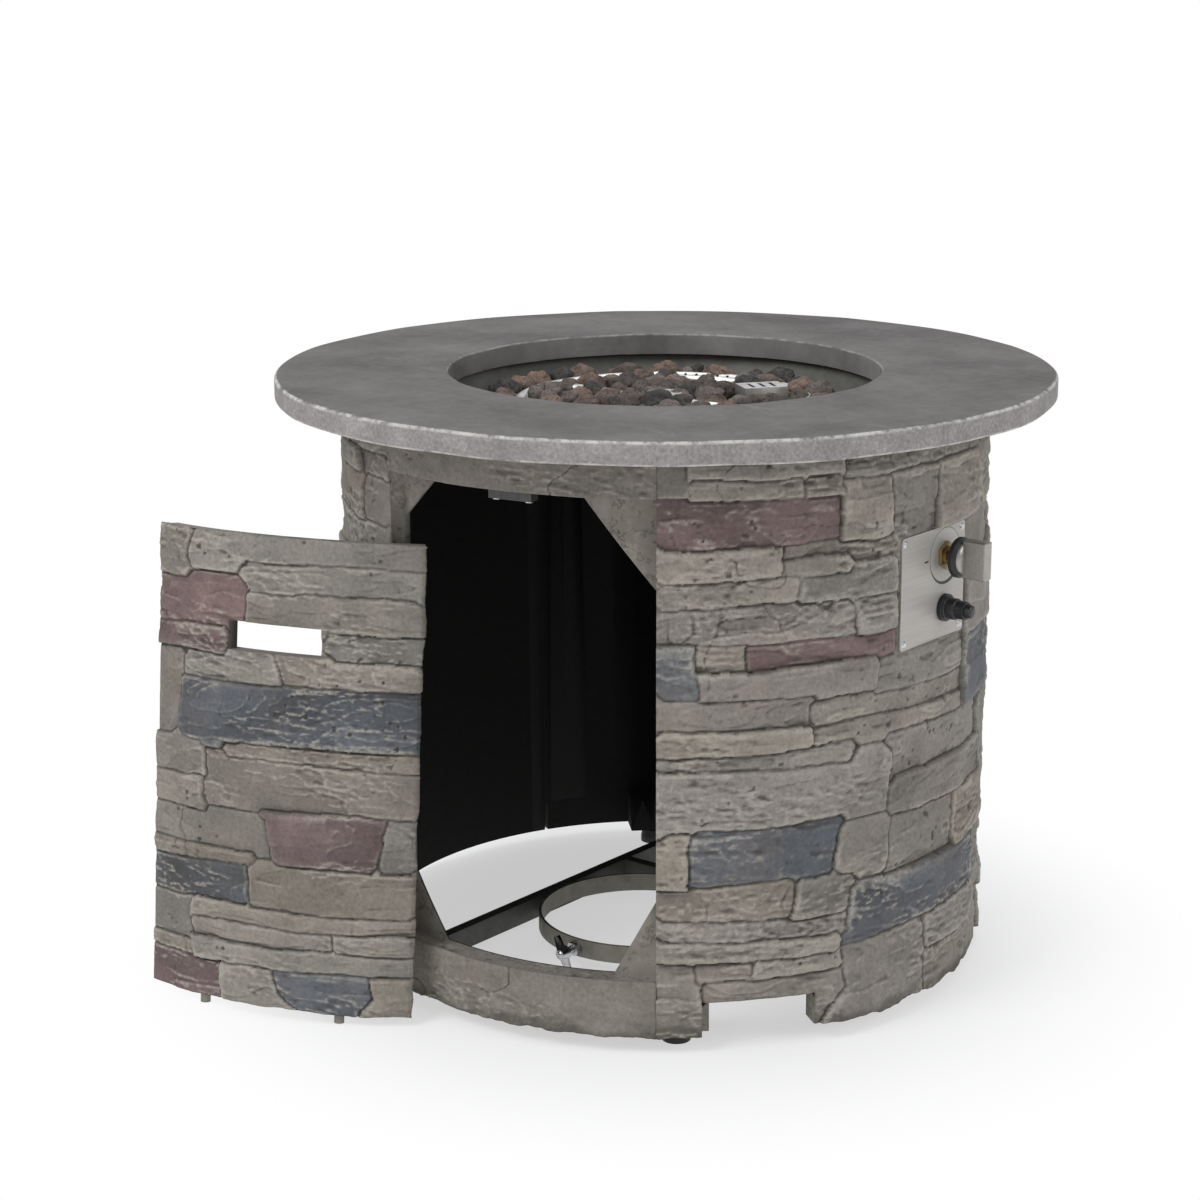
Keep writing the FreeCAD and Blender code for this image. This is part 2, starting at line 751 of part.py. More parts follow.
def door_place(shape):
    """Stands the door, drawn about the table's axis with its lower edge at zero, on its pegs."""
    turn = math.radians(stand_turn)
    lean = math.radians(stand_lean)
    along = V(math.cos(turn), math.sin(turn), 0)
    out = V(math.sin(turn), -math.cos(turn), 0)
    up = UP * math.cos(lean) - out * math.sin(lean)
    face = out * math.cos(lean) + UP * math.sin(lean)
    peg_out = peg_ring * math.cos(math.radians(peg_spread))
    sink = peg_radius * math.sin(lean)
    base = V(stand_x, stand_y, sink) - face * peg_out + up * peg_length
    shape.Placement = FreeCAD.Placement(base, FreeCAD.Rotation(along, face.negative(), up))
    return shape


def door_slot():
    low = door_tall / 2 + slot_above_middle - slot_height / 2
    return Part.makeBox(slot_width, 2 * wall_outer, slot_height, V(-slot_width / 2, -2 * wall_outer, low))


def door_panel():
    panel = ring_block(door_inner, door_outer, 0, door_tall, -door_half, door_half)
    tall = door_tall / drawn_door
    wide = door_half / drawn_half
    blocks = [stone(door_outer, 5 * i + 2, a1 * wide, a2 * wide, z1 * tall, z2 * tall)
              for i, (a1, a2, z1, z2) in enumerate(door_stones)]
    panel = panel.multiFuse(blocks).cut(door_slot())
    holes = [Part.makeCylinder(peg_radius, peg_root, at(peg_ring, side * peg_spread, 0))
             for side in (-1, 1)]
    holes.append(strike_block(2 * strike_thick))
    return door_place(panel.cut(holes))


def strike_block(depth):
    """Flat block let into the back of the door, opposite the catch."""
    back = math.sqrt(door_inner ** 2 - (strike_width / 2) ** 2)
    return Part.makeBox(strike_width, depth, strike_height,
                        V(-strike_width / 2, -back - strike_thick, door_tall - strike_inset - strike_height))


def door_strike():
    return door_place(strike_block(strike_thick))


def door_peg(side):
    return door_place(tube_piece(peg_radius, peg_bore, peg_length + peg_root,
                                 at(peg_ring, side * peg_spread, -peg_length), UP))


def catch_frame(shape):
    """Moves a piece drawn with +X outwards and +Z up to the middle of the lintel's underside."""
    out, along = door_axes()
    base = out * (seat_radius - catch_depth - catch_setback) + UP * door_head
    shape.Placement = FreeCAD.Placement(base, FreeCAD.Rotation(out, along, UP))
    return shape


def door_catch():
    block = Part.makeBox(catch_depth, catch_width, catch_height, V(0, -catch_width / 2, -catch_height))
    magnet = Part.makeBox(catch_depth, magnet_width, magnet_height,
                          V(catch_lip, -magnet_width / 2, magnet_floor - catch_height))
    return catch_frame(block.cut(magnet).cut([catch_screw_local(-1), catch_screw_local(1)]))


def catch_magnet():
    corner = V(catch_lip, magnet_play - magnet_width / 2, magnet_floor + magnet_play - catch_height)
    return catch_frame(Part.makeBox(catch_depth - catch_lip, magnet_width - 2 * magnet_play,
                                    magnet_height - 2 * magnet_play, corner))


def catch_screw_local(side):
    y = side * catch_screw_spread
    x = catch_depth / 2
    shank = Part.makeCylinder(catch_screw_radius, catch_height + catch_screw_length, V(x, y, -catch_height))
    foot = V(x, y, -catch_height - catch_screw_head)
    return shank.fuse(Part.makeCylinder(2 * catch_screw_radius, catch_screw_head, foot))


def catch_screw(side):
    return catch_frame(catch_screw_local(side))


def bar_long():
    ends = tab_centres()
    front = ends["front"][0]
    back = ends["back"][0]
    bar = Part.makeBox(bar_thick, back.y - front.y - 2 * tab_thick, bar_height,
                       V(long_bar_x - bar_thick / 2, front.y + tab_thick, bar_bottom))
    side = long_bar_x - tab_width / 2
    for y in (front.y, back.y - tab_thick):
        bar = bar.fuse(Part.makeBox(tab_width, tab_thick, bar_height, V(side, y, bar_bottom)))
    return bar.cut([frame_bolt(ends[name], side) for name in ("front", "back") for side in (-1, 1)])


def bar_cross():
    centre, way = tab_centres()["right"]
    start = long_bar_x + bar_thick / 2
    end = centre.x - tab_thick
    bar = Part.makeBox(end - start, bar_thick, bar_height, V(start, centre.y - bar_thick / 2, bar_bottom))
    tab = Part.makeBox(tab_thick, tab_width, bar_height, V(end, centre.y - tab_width / 2, bar_bottom))
    return bar.fuse(tab).cut([frame_bolt((centre, way), side) for side in (-1, 1)])


def frame_bolt(end, side):
    centre, way = end
    base = centre - way * tab_thick + way.cross(UP) * (side * frame_bolt_spread)
    head = hexagon(3.2 * frame_bolt_radius, bolt_head_height, base - way * bolt_head_height, way)
    return head.fuse(Part.makeCylinder(frame_bolt_radius, frame_bolt_length, base, way))


def strap(b1, b2):
    piece = ring_block(ring_inner, ring_inner + ring_strap, bar_top - ring_height, bar_top, b1, b2)
    piece.translate(V(0, ring_y, 0))
    return piece


def tank_ring():
    """Strap rolled into a hoop and welded to both bars, open in front where the lug closes it."""
    return strap(lug_half_span, 360.0 - lug_half_span)


def ring_lug():
    """Short length of strap that closes the hoop, bored for the tank screw."""
    return strap(-lug_half_span, lug_half_span).cut(screw_hole())


def screw_point(inside):
    return V(0, ring_y - ring_inner + inside, bar_top - ring_height / 2)


def screw_hole():
    length = 2 * (ring_strap + tank_nut_thick)
    bore = tank_screw_radius + thread_clearance
    return Part.makeCylinder(bore, length, screw_point(ring_strap), V(0, -1, 0))


def tank_nut():
    """Nut welded on the outside of the hoop."""
    sagitta = tank_nut_flats ** 2 / (8 * ring_inner)
    nut = hexagon(tank_nut_flats, tank_nut_thick, screw_point(sagitta - ring_strap), V(0, -1, 0))
    hoop = Part.makeCylinder(ring_inner + ring_strap, table_height, V(0, ring_y, 0))
    return nut.cut([screw_hole(), hoop])


def tank_screw():
    start = screw_point(tank_screw_inside)
    return Part.makeCylinder(tank_screw_radius, tank_screw_length, start, V(0, -1, 0))


def wing():
    """Wing head on the outer end of the screw: a hub with two ears, set at a slant as it was left."""
    end = screw_point(tank_screw_inside - tank_screw_length + wing_hub_length)
    hub = Part.makeCone(wing_hub_radius, wing_hub_end, wing_hub_length, end, V(0, -1, 0))
    ears = []
    for side in (-1, 1):
        corners = [V(0, 0, 0), V(side * wing_reach, -wing_sweep, 0),
                   V(side * wing_reach, -wing_sweep - wing_tip, 0),
                   V(side * wing_root, -wing_hub_length, 0), V(0, -wing_hub_length, 0)]
        ear = Part.Face(Part.makePolygon(corners + corners[:1])).extrude(V(0, 0, wing_thick))
        ear.translate(V(0, 0, -wing_thick / 2))
        ears.append(ear)
    ears = ears[0].fuse(ears[1])
    ears.rotate(V(0, 0, 0), V(0, 1, 0), wing_slant)
    ears.translate(end)
    behind = end + V(0, wing_hub_length, 0)
    bore = Part.makeCylinder(tank_screw_radius + wing_fit, 3 * wing_hub_length, behind, V(0, -1, 0))
    return hub.fuse(ears).cut(bore)


def control_plate():
    corner = V(plate_back, -plate_width / 2, plate_middle - plate_height / 2)
    plate = Part.makeBox(plate_thick, plate_width, plate_height, corner)
    corners = [e for e in plate.Edges if e.BoundBox.XLength > plate_thick / 2]
    plate = plate.makeFillet(plate_corner, corners)
    behind = plate_back - plate_thick
    holes = [Part.makeCylinder(radius + plate_fit, 4 * plate_thick, V(behind, control_y, z), V(1, 0, 0))
             for radius, z in ((bonnet_radius, knob_height), (igniter_radius, igniter_height))]
    holes += [plate_screw(y, z) for y in (-1, 1) for z in (-1, 1)]
    return plate.cut(holes)


def plate_screw(y_side, z_side):
    y = y_side * (plate_width / 2 - plate_screw_inset)
    z = plate_middle + z_side * (plate_height / 2 - plate_screw_inset)
    spot = V(plate_face, y, z)
    shank = Part.makeCylinder(plate_screw_radius, plate_screw_length, spot, V(-1, 0, 0))
    head = Part.makeCone(2 * plate_screw_radius, 1.2 * plate_screw_radius, plate_screw_head, spot, V(1, 0, 0))
    return shank.fuse(head)


def on_knob_axis(x):
    return V(x, control_y, knob_height)


def valve_body():
    body = Part.makeBox(valve_depth, valve_width, valve_tall,
                        V(valve_back - valve_depth, control_y - valve_width / 2, knob_height - valve_tall / 2))
    return body.makeChamfer(valve_chamfer, [e for e in body.Edges if e.BoundBox.XLength > valve_depth / 2])


def valve_bonnet():
    """Threaded neck of the valve, which carries the stem out through the plate."""
    axis = V(1, 0, 0)
    reach = valve_setback + plate_thick + bonnet_reach
    shoulder = Part.makeCylinder(shoulder_radius, shoulder_length, on_knob_axis(valve_back), axis)
    neck = Part.makeCylinder(bonnet_radius, reach, on_knob_axis(valve_back), axis)
    bore = Part.makeCylinder(valve_stem_radius + stem_fit, reach, on_knob_axis(valve_back), axis)
    return shoulder.fuse(neck).cut(bore)


def valve_inlet():
    """Flare fitting on the back of the valve, for the supply hose."""
    base = on_knob_axis(valve_back - valve_depth)
    inwards = V(-1, 0, 0)
    nipple = Part.makeCylinder(inlet_radius, inlet_straight, base, inwards)
    nose = Part.makeCone(inlet_radius, inlet_nose, inlet_length - inlet_straight,
                         base + inwards * inlet_straight, inwards)
    flats = hexagon(inlet_flats, inlet_hex, base, inwards)
    bore = Part.makeCylinder(inlet_bore, inlet_length, base, inwards)
    return nipple.fuse([nose, flats]).cut(bore)


def valve_nut():
    base = on_knob_axis(plate_face)
    nut = hexagon(valve_nut_flats, valve_nut_thick, base, V(1, 0, 0))
    return nut.cut(Part.makeCylinder(bonnet_radius + nut_fit, valve_nut_thick, base, V(1, 0, 0)))


def valve_stem():
    back = valve_back + knob_travel + stem_end_gap
    length = plate_face + skirt_gap + skirt_thick - skirt_web - back
    return Part.makeCylinder(valve_stem_radius, length, on_knob_axis(back), V(1, 0, 0))


def stem_collar():
    base = on_knob_axis(plate_face + bonnet_reach + knob_travel + collar_gap)
    return tube_piece(collar_radius, valve_stem_radius + stem_fit, collar_thick, base, V(1, 0, 0))


def knob_skirt():
    base = on_knob_axis(plate_face + skirt_gap)
    axis = V(1, 0, 0)
    disc = Part.makeCylinder(skirt_radius, skirt_rim, base, axis)
    step = Part.makeCone(skirt_radius, grip_radius, skirt_thick - skirt_rim, base + axis * skirt_rim, axis)
    return disc.fuse(step).cut(Part.makeCylinder(valve_stem_radius, skirt_thick - skirt_web, base, axis))


def knob_grip():
    """Domed metal cap with a bar across it, pointing up at the off mark."""
    base = on_knob_axis(plate_face + skirt_gap + skirt_thick)
    dome_radius = (grip_radius ** 2 + grip_dome ** 2) / (2 * grip_dome)
    dome = Part.makeSphere(dome_radius, base + V(grip_dome - dome_radius, 0, 0))
    dome = dome.common(Part.makeCylinder(grip_radius, grip_dome * 2, base, V(1, 0, 0)))
    bar = Part.makeBox(grip_bar_height, grip_bar_width, grip_bar_length,
                       base + V(0, -grip_bar_width / 2, -grip_bar_length / 2))
    bar = bar.common(Part.makeCylinder(grip_bar_length / 2, grip_bar_height, base, V(1, 0, 0)))
    front_edges = [e for e in bar.Edges if e.BoundBox.XLength < 0.1 and e.BoundBox.XMin > base.x + 1]
    bar = bar.makeFillet(grip_bar_round, front_edges)
    return dome.fuse(bar)


def igniter_housing():
    """Tube that takes the battery, with a flange behind the plate and a threaded neck through it."""
    back = plate_back - igniter_depth
    axis = V(1, 0, 0)
    length = igniter_depth + plate_thick + igniter_neck
    body = Part.makeCylinder(igniter_radius, length, on_igniter_axis(back), axis)
    flange = Part.makeCylinder(igniter_flange, flange_thick,
                               on_igniter_axis(plate_back - flange_thick), axis)
    bore = Part.makeCylinder(battery_radius + battery_play, length,
                             on_igniter_axis(back + igniter_end), axis)
    return body.fuse(flange).cut(bore)


def on_igniter_axis(x):
    return V(x, control_y, igniter_height)


def igniter_nut():
    return tube_piece(igniter_flange, igniter_radius + nut_fit, igniter_nut_thick, on_igniter_axis(plate_face),
                      V(1, 0, 0))


def igniter_cap():
    """Screw-off cap over the battery, stepped down to the collar that guides the button."""
    base = on_igniter_axis(plate_face + igniter_neck + seat_gap)
    axis = V(1, 0, 0)
    cup = Part.makeCylinder(igniter_cap_radius, igniter_cup_length, base, axis)
    neck = Part.makeCylinder(igniter_cap_radius - igniter_cap_step, igniter_cap_length, base, axis)
    guide = Part.makeCylinder(button_radius + slide_fit, igniter_cap_length, base + axis * igniter_cap_floor,
                              axis)
    return cup.fuse(neck).cut(guide)


def igniter_button():
    back = igniter_cap_floor + button_travel + button_gap
    base = on_igniter_axis(plate_face + igniter_neck + back)
    return Part.makeCylinder(button_radius, igniter_cap_length - back + button_proud, base, V(1, 0, 0))


def battery():
    axis = V(1, 0, 0)
    base = on_igniter_axis(plate_back - igniter_depth + igniter_end + battery_gap)
    cell = Part.makeCylinder(battery_radius, battery_length - battery_cap, base, axis)
    return cell.fuse(Part.makeCylinder(battery_cap_radius, battery_length, base, axis))


def foot_pad(bearing):
    spot = at(foot_radius, bearing, 0)
    shoulder = Part.makeCone(pad_radius, pad_radius - pad_groove, pad_height - pad_straight,
                             spot + UP * pad_straight)
    pad = Part.makeCylinder(pad_radius, pad_straight, spot).fuse(shoulder)
    return pad.cut(Part.makeCylinder(stem_radius, pad_height, spot + UP * pad_sole))


def foot_stem(bearing):
    return Part.makeCylinder(stem_radius, stem_length - pad_sole, at(foot_radius, bearing, pad_sole))


def build():
    os.makedirs("parts", exist_ok=True)
    save("body_shell", body_shell())
    save("table_top", table_top())
    save("top_brackets", Part.makeCompound([bracket(b) for b in bracket_bearings()]))
    save("top_bolts", Part.makeCompound([bracket_bolt(b) for b in bracket_bearings()]))
    save("bracket_screws", Part.makeCompound([bracket_screw(b) for b in bracket_bearings()]))
    save("burner_pan", burner_pan())
    save("pan_screws", Part.makeCompound([pan_screw(i) for i in range(pan_screw_count)]))
    save("burner_ring", burner_ring())
    save("burner_posts", Part.makeCompound(ring_posts()))
    save("air_mixer", mixer())
    save("mixer_nut", mixer_nut())
    save("gas_pipe", gas_pipe())
    save("pilot_hood", pilot_hood())
    save("spark_electrode", probe(-1, electrode_radius, electrode_height))
    save("thermocouple", probe(1, probe_radius, probe_height))
    save("lava_rocks", Part.makeCompound(lava_rocks()))
    save("door_panel", door_panel())
    save("door_pegs", Part.makeCompound([door_peg(side) for side in (-1, 1)]))
    save("door_strike", door_strike())
    save("door_catch", door_catch())
    save("catch_magnet", catch_magnet())
    save("catch_screws", Part.makeCompound([catch_screw(side) for side in (-1, 1)]))
    save("bar_long", bar_long())
    save("bar_cross", bar_cross())
    save("frame_bolts", Part.makeCompound([frame_bolt(end, side) for end in tab_centres().values()
                                           for side in (-1, 1)]))
    save("tank_ring", tank_ring())
    save("ring_lug", ring_lug())
    save("tank_nut", tank_nut())
    save("tank_screw", tank_screw())
    save("tank_wing", wing())
    save("control_plate", control_plate())
    save("plate_screws", Part.makeCompound([plate_screw(y, z) for y in (-1, 1) for z in (-1, 1)]))
    save("valve_body", valve_body())
    save("valve_bonnet", valve_bonnet())
    save("valve_inlet", valve_inlet())
    save("valve_nut", valve_nut())
    save("valve_stem", valve_stem())
    save("stem_collar", stem_collar())
    save("knob_skirt", knob_skirt())
    save("knob_grip", knob_grip())
    save("igniter_housing", igniter_housing())
    save("igniter_nut", igniter_nut())
    save("igniter_cap", igniter_cap())
    save("igniter_button", igniter_button())
    save("igniter_battery", battery())
    for i, bearing in enumerate(foot_bearings()):
        save("foot_pad_%d" % (i + 1), foot_pad(bearing))
        save("foot_stem_%d" % (i + 1), foot_stem(bearing))


build()
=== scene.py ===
import math

import bmesh
import bpy
import numpy as np
from mathutils import Matrix, Vector


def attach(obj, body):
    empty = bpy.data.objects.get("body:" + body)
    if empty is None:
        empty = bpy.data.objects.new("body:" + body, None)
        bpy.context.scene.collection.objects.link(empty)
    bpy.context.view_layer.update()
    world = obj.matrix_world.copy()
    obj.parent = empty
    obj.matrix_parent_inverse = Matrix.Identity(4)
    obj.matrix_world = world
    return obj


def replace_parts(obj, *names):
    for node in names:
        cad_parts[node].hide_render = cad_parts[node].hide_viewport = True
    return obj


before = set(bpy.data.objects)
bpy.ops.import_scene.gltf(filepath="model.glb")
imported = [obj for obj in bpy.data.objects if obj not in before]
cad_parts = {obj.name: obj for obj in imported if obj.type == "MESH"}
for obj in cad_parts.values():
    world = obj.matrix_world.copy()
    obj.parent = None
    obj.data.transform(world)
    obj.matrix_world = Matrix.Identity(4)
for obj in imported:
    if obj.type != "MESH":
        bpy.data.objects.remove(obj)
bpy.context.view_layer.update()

# The view. The lens stands at about sitting height, some 2.9 m from the table and a little to the
# left of the control plate's side, and looks slightly down on the top.
view_bearing = math.radians(37.5)
view_distance = 2.7198
view_height = 1.0646
view_way = Vector((-0.02376, 0.96818, -0.24914))
view_roll = math.radians(-0.232)
to_row = Matrix.Rotation(view_bearing, 3, "Z")
look = (to_row @ view_way).normalized()
level = look.cross(Vector((0, 0, 1))).normalized()
across = level * math.cos(view_roll) + level.cross(look) * math.sin(view_roll)
above = across.cross(look)
camera = bpy.data.objects.new("camera", bpy.data.cameras.new("camera"))
camera.data.lens = 81.04
camera.data.sensor_width = 36.0
stand = to_row @ Vector((0, -view_distance, view_height))
camera.matrix_world = Matrix.Translation(stand) @ Matrix((across, above, -look)).transposed().to_4x4()
bpy.context.scene.collection.objects.link(camera)
bpy.context.scene.camera = camera
bpy.context.scene.view_settings.view_transform = "Standard"


# The studio: a pale floor that runs out to white, a soft sky all round, one large soft lamp above
# on the left, a weaker one on the right and a high one behind.
def around(radius, turn, height=0.0):
    """The point at a radius from the table's axis, turned from the front."""
    return Vector((radius * math.sin(turn), -radius * math.cos(turn), height))


def mesh_of(bm, name):
    mesh = bpy.data.meshes.new(name)
    bm.to_mesh(mesh)
    bm.free()
    return mesh


def placed(mesh, name):
    piece = bpy.data.objects.new(name, mesh)
    bpy.context.scene.collection.objects.link(piece)
    return piece


def smoothed(mesh, sharp=None):
    """Round faces shaded smooth, and edges sharper than the angle in degrees left crisp."""
    mesh.polygons.foreach_set("use_smooth", np.ones(len(mesh.polygons), bool))
    if sharp is not None:
        mesh.set_sharp_from_angle(angle=math.radians(sharp))


def material(name, roughness=None, specular=None):
    made = bpy.data.materials.new(name)
    made.use_nodes = True
    nodes = made.node_tree.nodes
    nodes.clear()
    out = nodes.new("ShaderNodeOutputMaterial")
    surface = nodes.new("ShaderNodeBsdfPrincipled")
    if roughness is not None:
        surface.inputs["Roughness"].default_value = roughness
    if specular is not None:
        surface.inputs["Specular IOR Level"].default_value = specular
    made.node_tree.links.new(surface.outputs[0], out.inputs[0])
    return made, nodes, made.node_tree.links, surface


def floor_white():
    made, nodes, links, surface = material("floor_white", 0.9, 0.1)
    surface.inputs["Base Color"].default_value = (0.86, 0.86, 0.86, 1)
    glow = nodes.new("ShaderNodeEmission")
    glow.inputs["Color"].default_value = (1, 1, 1, 1)
    mix = nodes.new("ShaderNodeMixShader")
    place = nodes.new("ShaderNodeTexCoord")
    reach = nodes.new("ShaderNodeVectorMath")
    reach.operation = "LENGTH"
    fade = nodes.new("ShaderNodeMapRange")
    fade.interpolation_type = "SMOOTHSTEP"
    fade.inputs["From Min"].default_value = 0.31
    fade.inputs["From Max"].default_value = 0.60
    fade.inputs["To Min"].default_value = 0.55
    links.new(place.outputs["Object"], reach.inputs[0])
    links.new(reach.outputs["Value"], fade.inputs["Value"])
    links.new(fade.outputs["Result"], mix.inputs["Fac"])
    links.new(surface.outputs[0], mix.inputs[1])
    links.new(glow.outputs[0], mix.inputs[2])
    links.new(mix.outputs[0], nodes["Material Output"].inputs[0])
    return made


floor_bm = bmesh.new()
bmesh.ops.create_grid(floor_bm, x_segments=1, y_segments=1, size=14.0)
floor = placed(mesh_of(floor_bm, "floor"), "floor")
floor.data.materials.append(floor_white())

world = bpy.data.worlds.new("sky")
bpy.context.scene.world = world
world.use_nodes = True
sky_nodes = world.node_tree.nodes
sky_links = world.node_tree.links
sky_light = sky_nodes["Background"]
sky_light.inputs["Color"].default_value = (0.93, 0.96, 1.0, 1)
sky_light.inputs["Strength"].default_value = 0.62
sky_seen = sky_nodes.new("ShaderNodeBackground")
sky_seen.inputs["Color"].default_value = (1, 1, 1, 1)
sky_ray = sky_nodes.new("ShaderNodeLightPath")
sky_mix = sky_nodes.new("ShaderNodeMixShader")
sky_links.new(sky_ray.outputs["Is Camera Ray"], sky_mix.inputs["Fac"])
sky_links.new(sky_light.outputs[0], sky_mix.inputs[1])
sky_links.new(sky_seen.outputs[0], sky_mix.inputs[2])
sky_links.new(sky_mix.outputs[0], sky_nodes["World Output"].inputs[0])


def lamp(name, bearing, height, distance, size, watts):
    light = bpy.data.objects.new(name, bpy.data.lights.new(name, "AREA"))
    light.data.shape = "DISK"
    light.data.size = size
    light.data.energy = watts
    spot = around(distance, view_bearing + math.radians(bearing), height)
    aim = (Vector((0, 0, 0.35)) - spot).to_track_quat("-Z", "Y")
    light.matrix_world = Matrix.Translation(spot) @ aim.to_matrix().to_4x4()
    bpy.context.scene.collection.objects.link(light)


lamp("lamp_left", -48, 2.6, 2.6, 1.6, 52)
lamp("lamp_right", 62, 1.9, 3.0, 1.8, 20)
lamp("lamp_top", 170, 3.0, 1.2, 2.0, 22)


# The cast body: a round shell of coloured concrete, cast in a rubber mould that gives it courses of
# rough ledge stone and brushed pale on the arrises, with painted shade in its joints and hollows. Four
# skins make its outside, with a plain lintel and sill round the doorway.
wall_outer = 0.325
wall_inner = 0.303
body_low, body_high = 0.018, 0.587
door_left, door_right = -16.25, 36.25
sill_top, door_head = 0.074, 0.543
arch_starts = (44.0, 134.0, 224.0, 314.0)
arch_span, arch_top = 20.0, 0.052
closed_arch = 224.0
plate_bearing, plate_z, plate_seat = 90, 0.431, 0.3232
proud_steps = (1.0, 0.50, 0.8, 0.35, 0.95, 0.60)
stone_proud = 0.006

CHALK = (0.40, 0.37, 0.32)
GREY = (0.208, 0.190, 0.166)
DUN = (0.222, 0.203, 0.175)
WARM = (0.219, 0.195, 0.171)
PURPLE = (0.154, 0.107, 0.102)
SLATE = (0.096, 0.101, 0.110)
stone_tints = {"g": GREY, "d": DUN, "w": WARM, "p": PURPLE, "b": SLATE}

# First bearing, last bearing, lower and upper height in mm, and tint.
front_stones = (
    (42, 68, 561, 573, "g"), (42, 60, 540, 560, "d"), (61, 67, 540, 560, "g"), (38, 67, 495, 539, "p"),
    (68, 77, 492, 550, "d"), (78, 89, 492, 552, "g"), (90, 105, 492, 553, "d"), (68, 110, 554, 573, "g"),
    (37, 56, 466, 493, "w"), (57, 78, 482, 494, "g"), (57, 69, 466, 480, "d"), (37, 59, 442, 463, "d"),
    (60, 78, 438, 464, "g"), (37, 70, 406, 440, "w"), (71, 79, 402, 437, "g"), (51, 79, 378, 401, "p"),
    (37, 42.5, 355, 403, "b"), (43, 50.5, 380, 404, "d"), (43, 75, 352, 377, "w"), (76, 100, 340, 372, "g"),
    (37, 62, 323, 350, "w"), (63, 101, 318, 338, "d"), (37, 62, 299, 321, "d"), (63, 100, 300, 317, "g"),
    (101, 123, 300, 365, "b"), (37, 70, 283, 297, "d"), (37, 78, 226, 281, "w"), (79, 110, 254, 298, "w"),
    (80, 112, 214, 252, "g"), (42, 67, 172, 224, "b"), (68, 78, 168, 213, "g"), (79, 98, 163, 212, "d"),
    (37, 41, 170, 222, "d"), (37, 59, 134, 168, "w"), (60, 70, 130, 168, "d"), (37, 69, 113, 131, "w"),
    (37, 67, 94, 111, "d"), (43, 52, 75, 92, "w"), (53, 68, 75, 92, "d"), (45, 69, 52, 73, "g"),
    (70, 108, 100, 150, "b"), (70, 88, 22, 97, "w"), (89, 108, 62, 98, "d"), (90, 124, 22, 60, "g"),
    (99, 124, 158, 210, "w"), (102, 124, 440, 488, "g"), (101, 124, 370, 436, "w"), (111, 124, 492, 552, "g"),
    (111, 124, 215, 298, "d"), (109, 124, 102, 154, "g"), (112, 124, 556, 573, "w"), (37, 43, 22, 90, "d"),
)
course_heights = (31, 24, 44, 19, 38, 27, 52, 22, 34, 46, 20, 40, 28, 36, 48, 24, 32)
course_spans = (27, 18, 34, 22, 13, 30, 19, 25, 16)
course_tints = "gdwgdwgdwgdwgpdgwdb"
course_low, course_high = 22, 573
course_start, course_end = 125.0, 343.0
shortest_span = 6
last_coloured = 280


def course_stones():
    draw = np.random.default_rng(8)
    stones = []
    z, pick = course_low, 0
    for height in course_heights:
        top = min(z + height, course_high)
        start = course_start + draw.uniform(-7.0, 5.0)
        while start < course_end - shortest_span:
            end = min(start + course_spans[pick % len(course_spans)], course_end)
            end = course_end if course_end - end < shortest_span else end
            kind = course_tints[draw.integers(len(course_tints))]
            stones.append((start, end, z, top, "g" if start > last_coloured and kind in "pb" else kind))
            start = end
            pick += 1
        pick += 2
        z = top
        if z >= course_high - 1:
            break
    return stones


def lattice(points, seed):
    """Smooth random values at points (n, 3), between -1 and 1."""
    cell = np.floor(points).astype(np.int64)
    part = points - cell
    part = part * part * part * (part * (part * 6 - 15) + 10)
    total = np.zeros(len(points))
    for corner in range(8):
        step = np.array([corner & 1, (corner >> 1) & 1, (corner >> 2) & 1])
        key = cell + step
        code = key[:, 0] * 374761393 + key[:, 1] * 668265263 + key[:, 2] * 2147483647 + seed * 144665
        code = code & 0xFFFFFFFF
        code = ((code ^ (code >> 13)) * 1274126177) & 0xFFFFFFFF
        value = ((code ^ (code >> 16)) & 0xFFFF) / 32767.5 - 1.0
        weight = np.ones(len(points))
        for axis in range(3):
            weight *= part[:, axis] if step[axis] else 1 - part[:, axis]
        total += value * weight
    return total


def rough(s, z, wide, tall, seed, octaves=3):
    """Layered noise over a wall: s along it, z up it, both in metres."""
    total = np.zeros(s.shape)
    strength = 1.0
    for layer in range(octaves):
        grow = 2.0 ** layer
        spots = np.stack([s.ravel() / wide * grow, z.ravel() / tall * grow,
                          np.full(s.size, 7.3 * layer)], axis=1)
        total += strength * lattice(spots, seed + layer).reshape(s.shape)
        strength *= 0.5
    return total


def ease(low, high, value):
    t = np.clip((value - low) / (high - low), 0, 1)
    return t * t * (3 - 2 * t)


def blurred(field, reach):
    for axis in (0, 1):
        pad = [(0, 0), (0, 0)]
        pad[axis] = (reach + 1, reach)
        sums = np.cumsum(np.pad(field, pad, mode="edge"), axis=axis)
        size = field.shape[axis]
        first = np.take(sums, range(size), axis=axis)
        last = np.take(sums, range(2 * reach + 1, size + 2 * reach + 1), axis=axis)
        field = (last - first) / (2 * reach + 1)
    return field


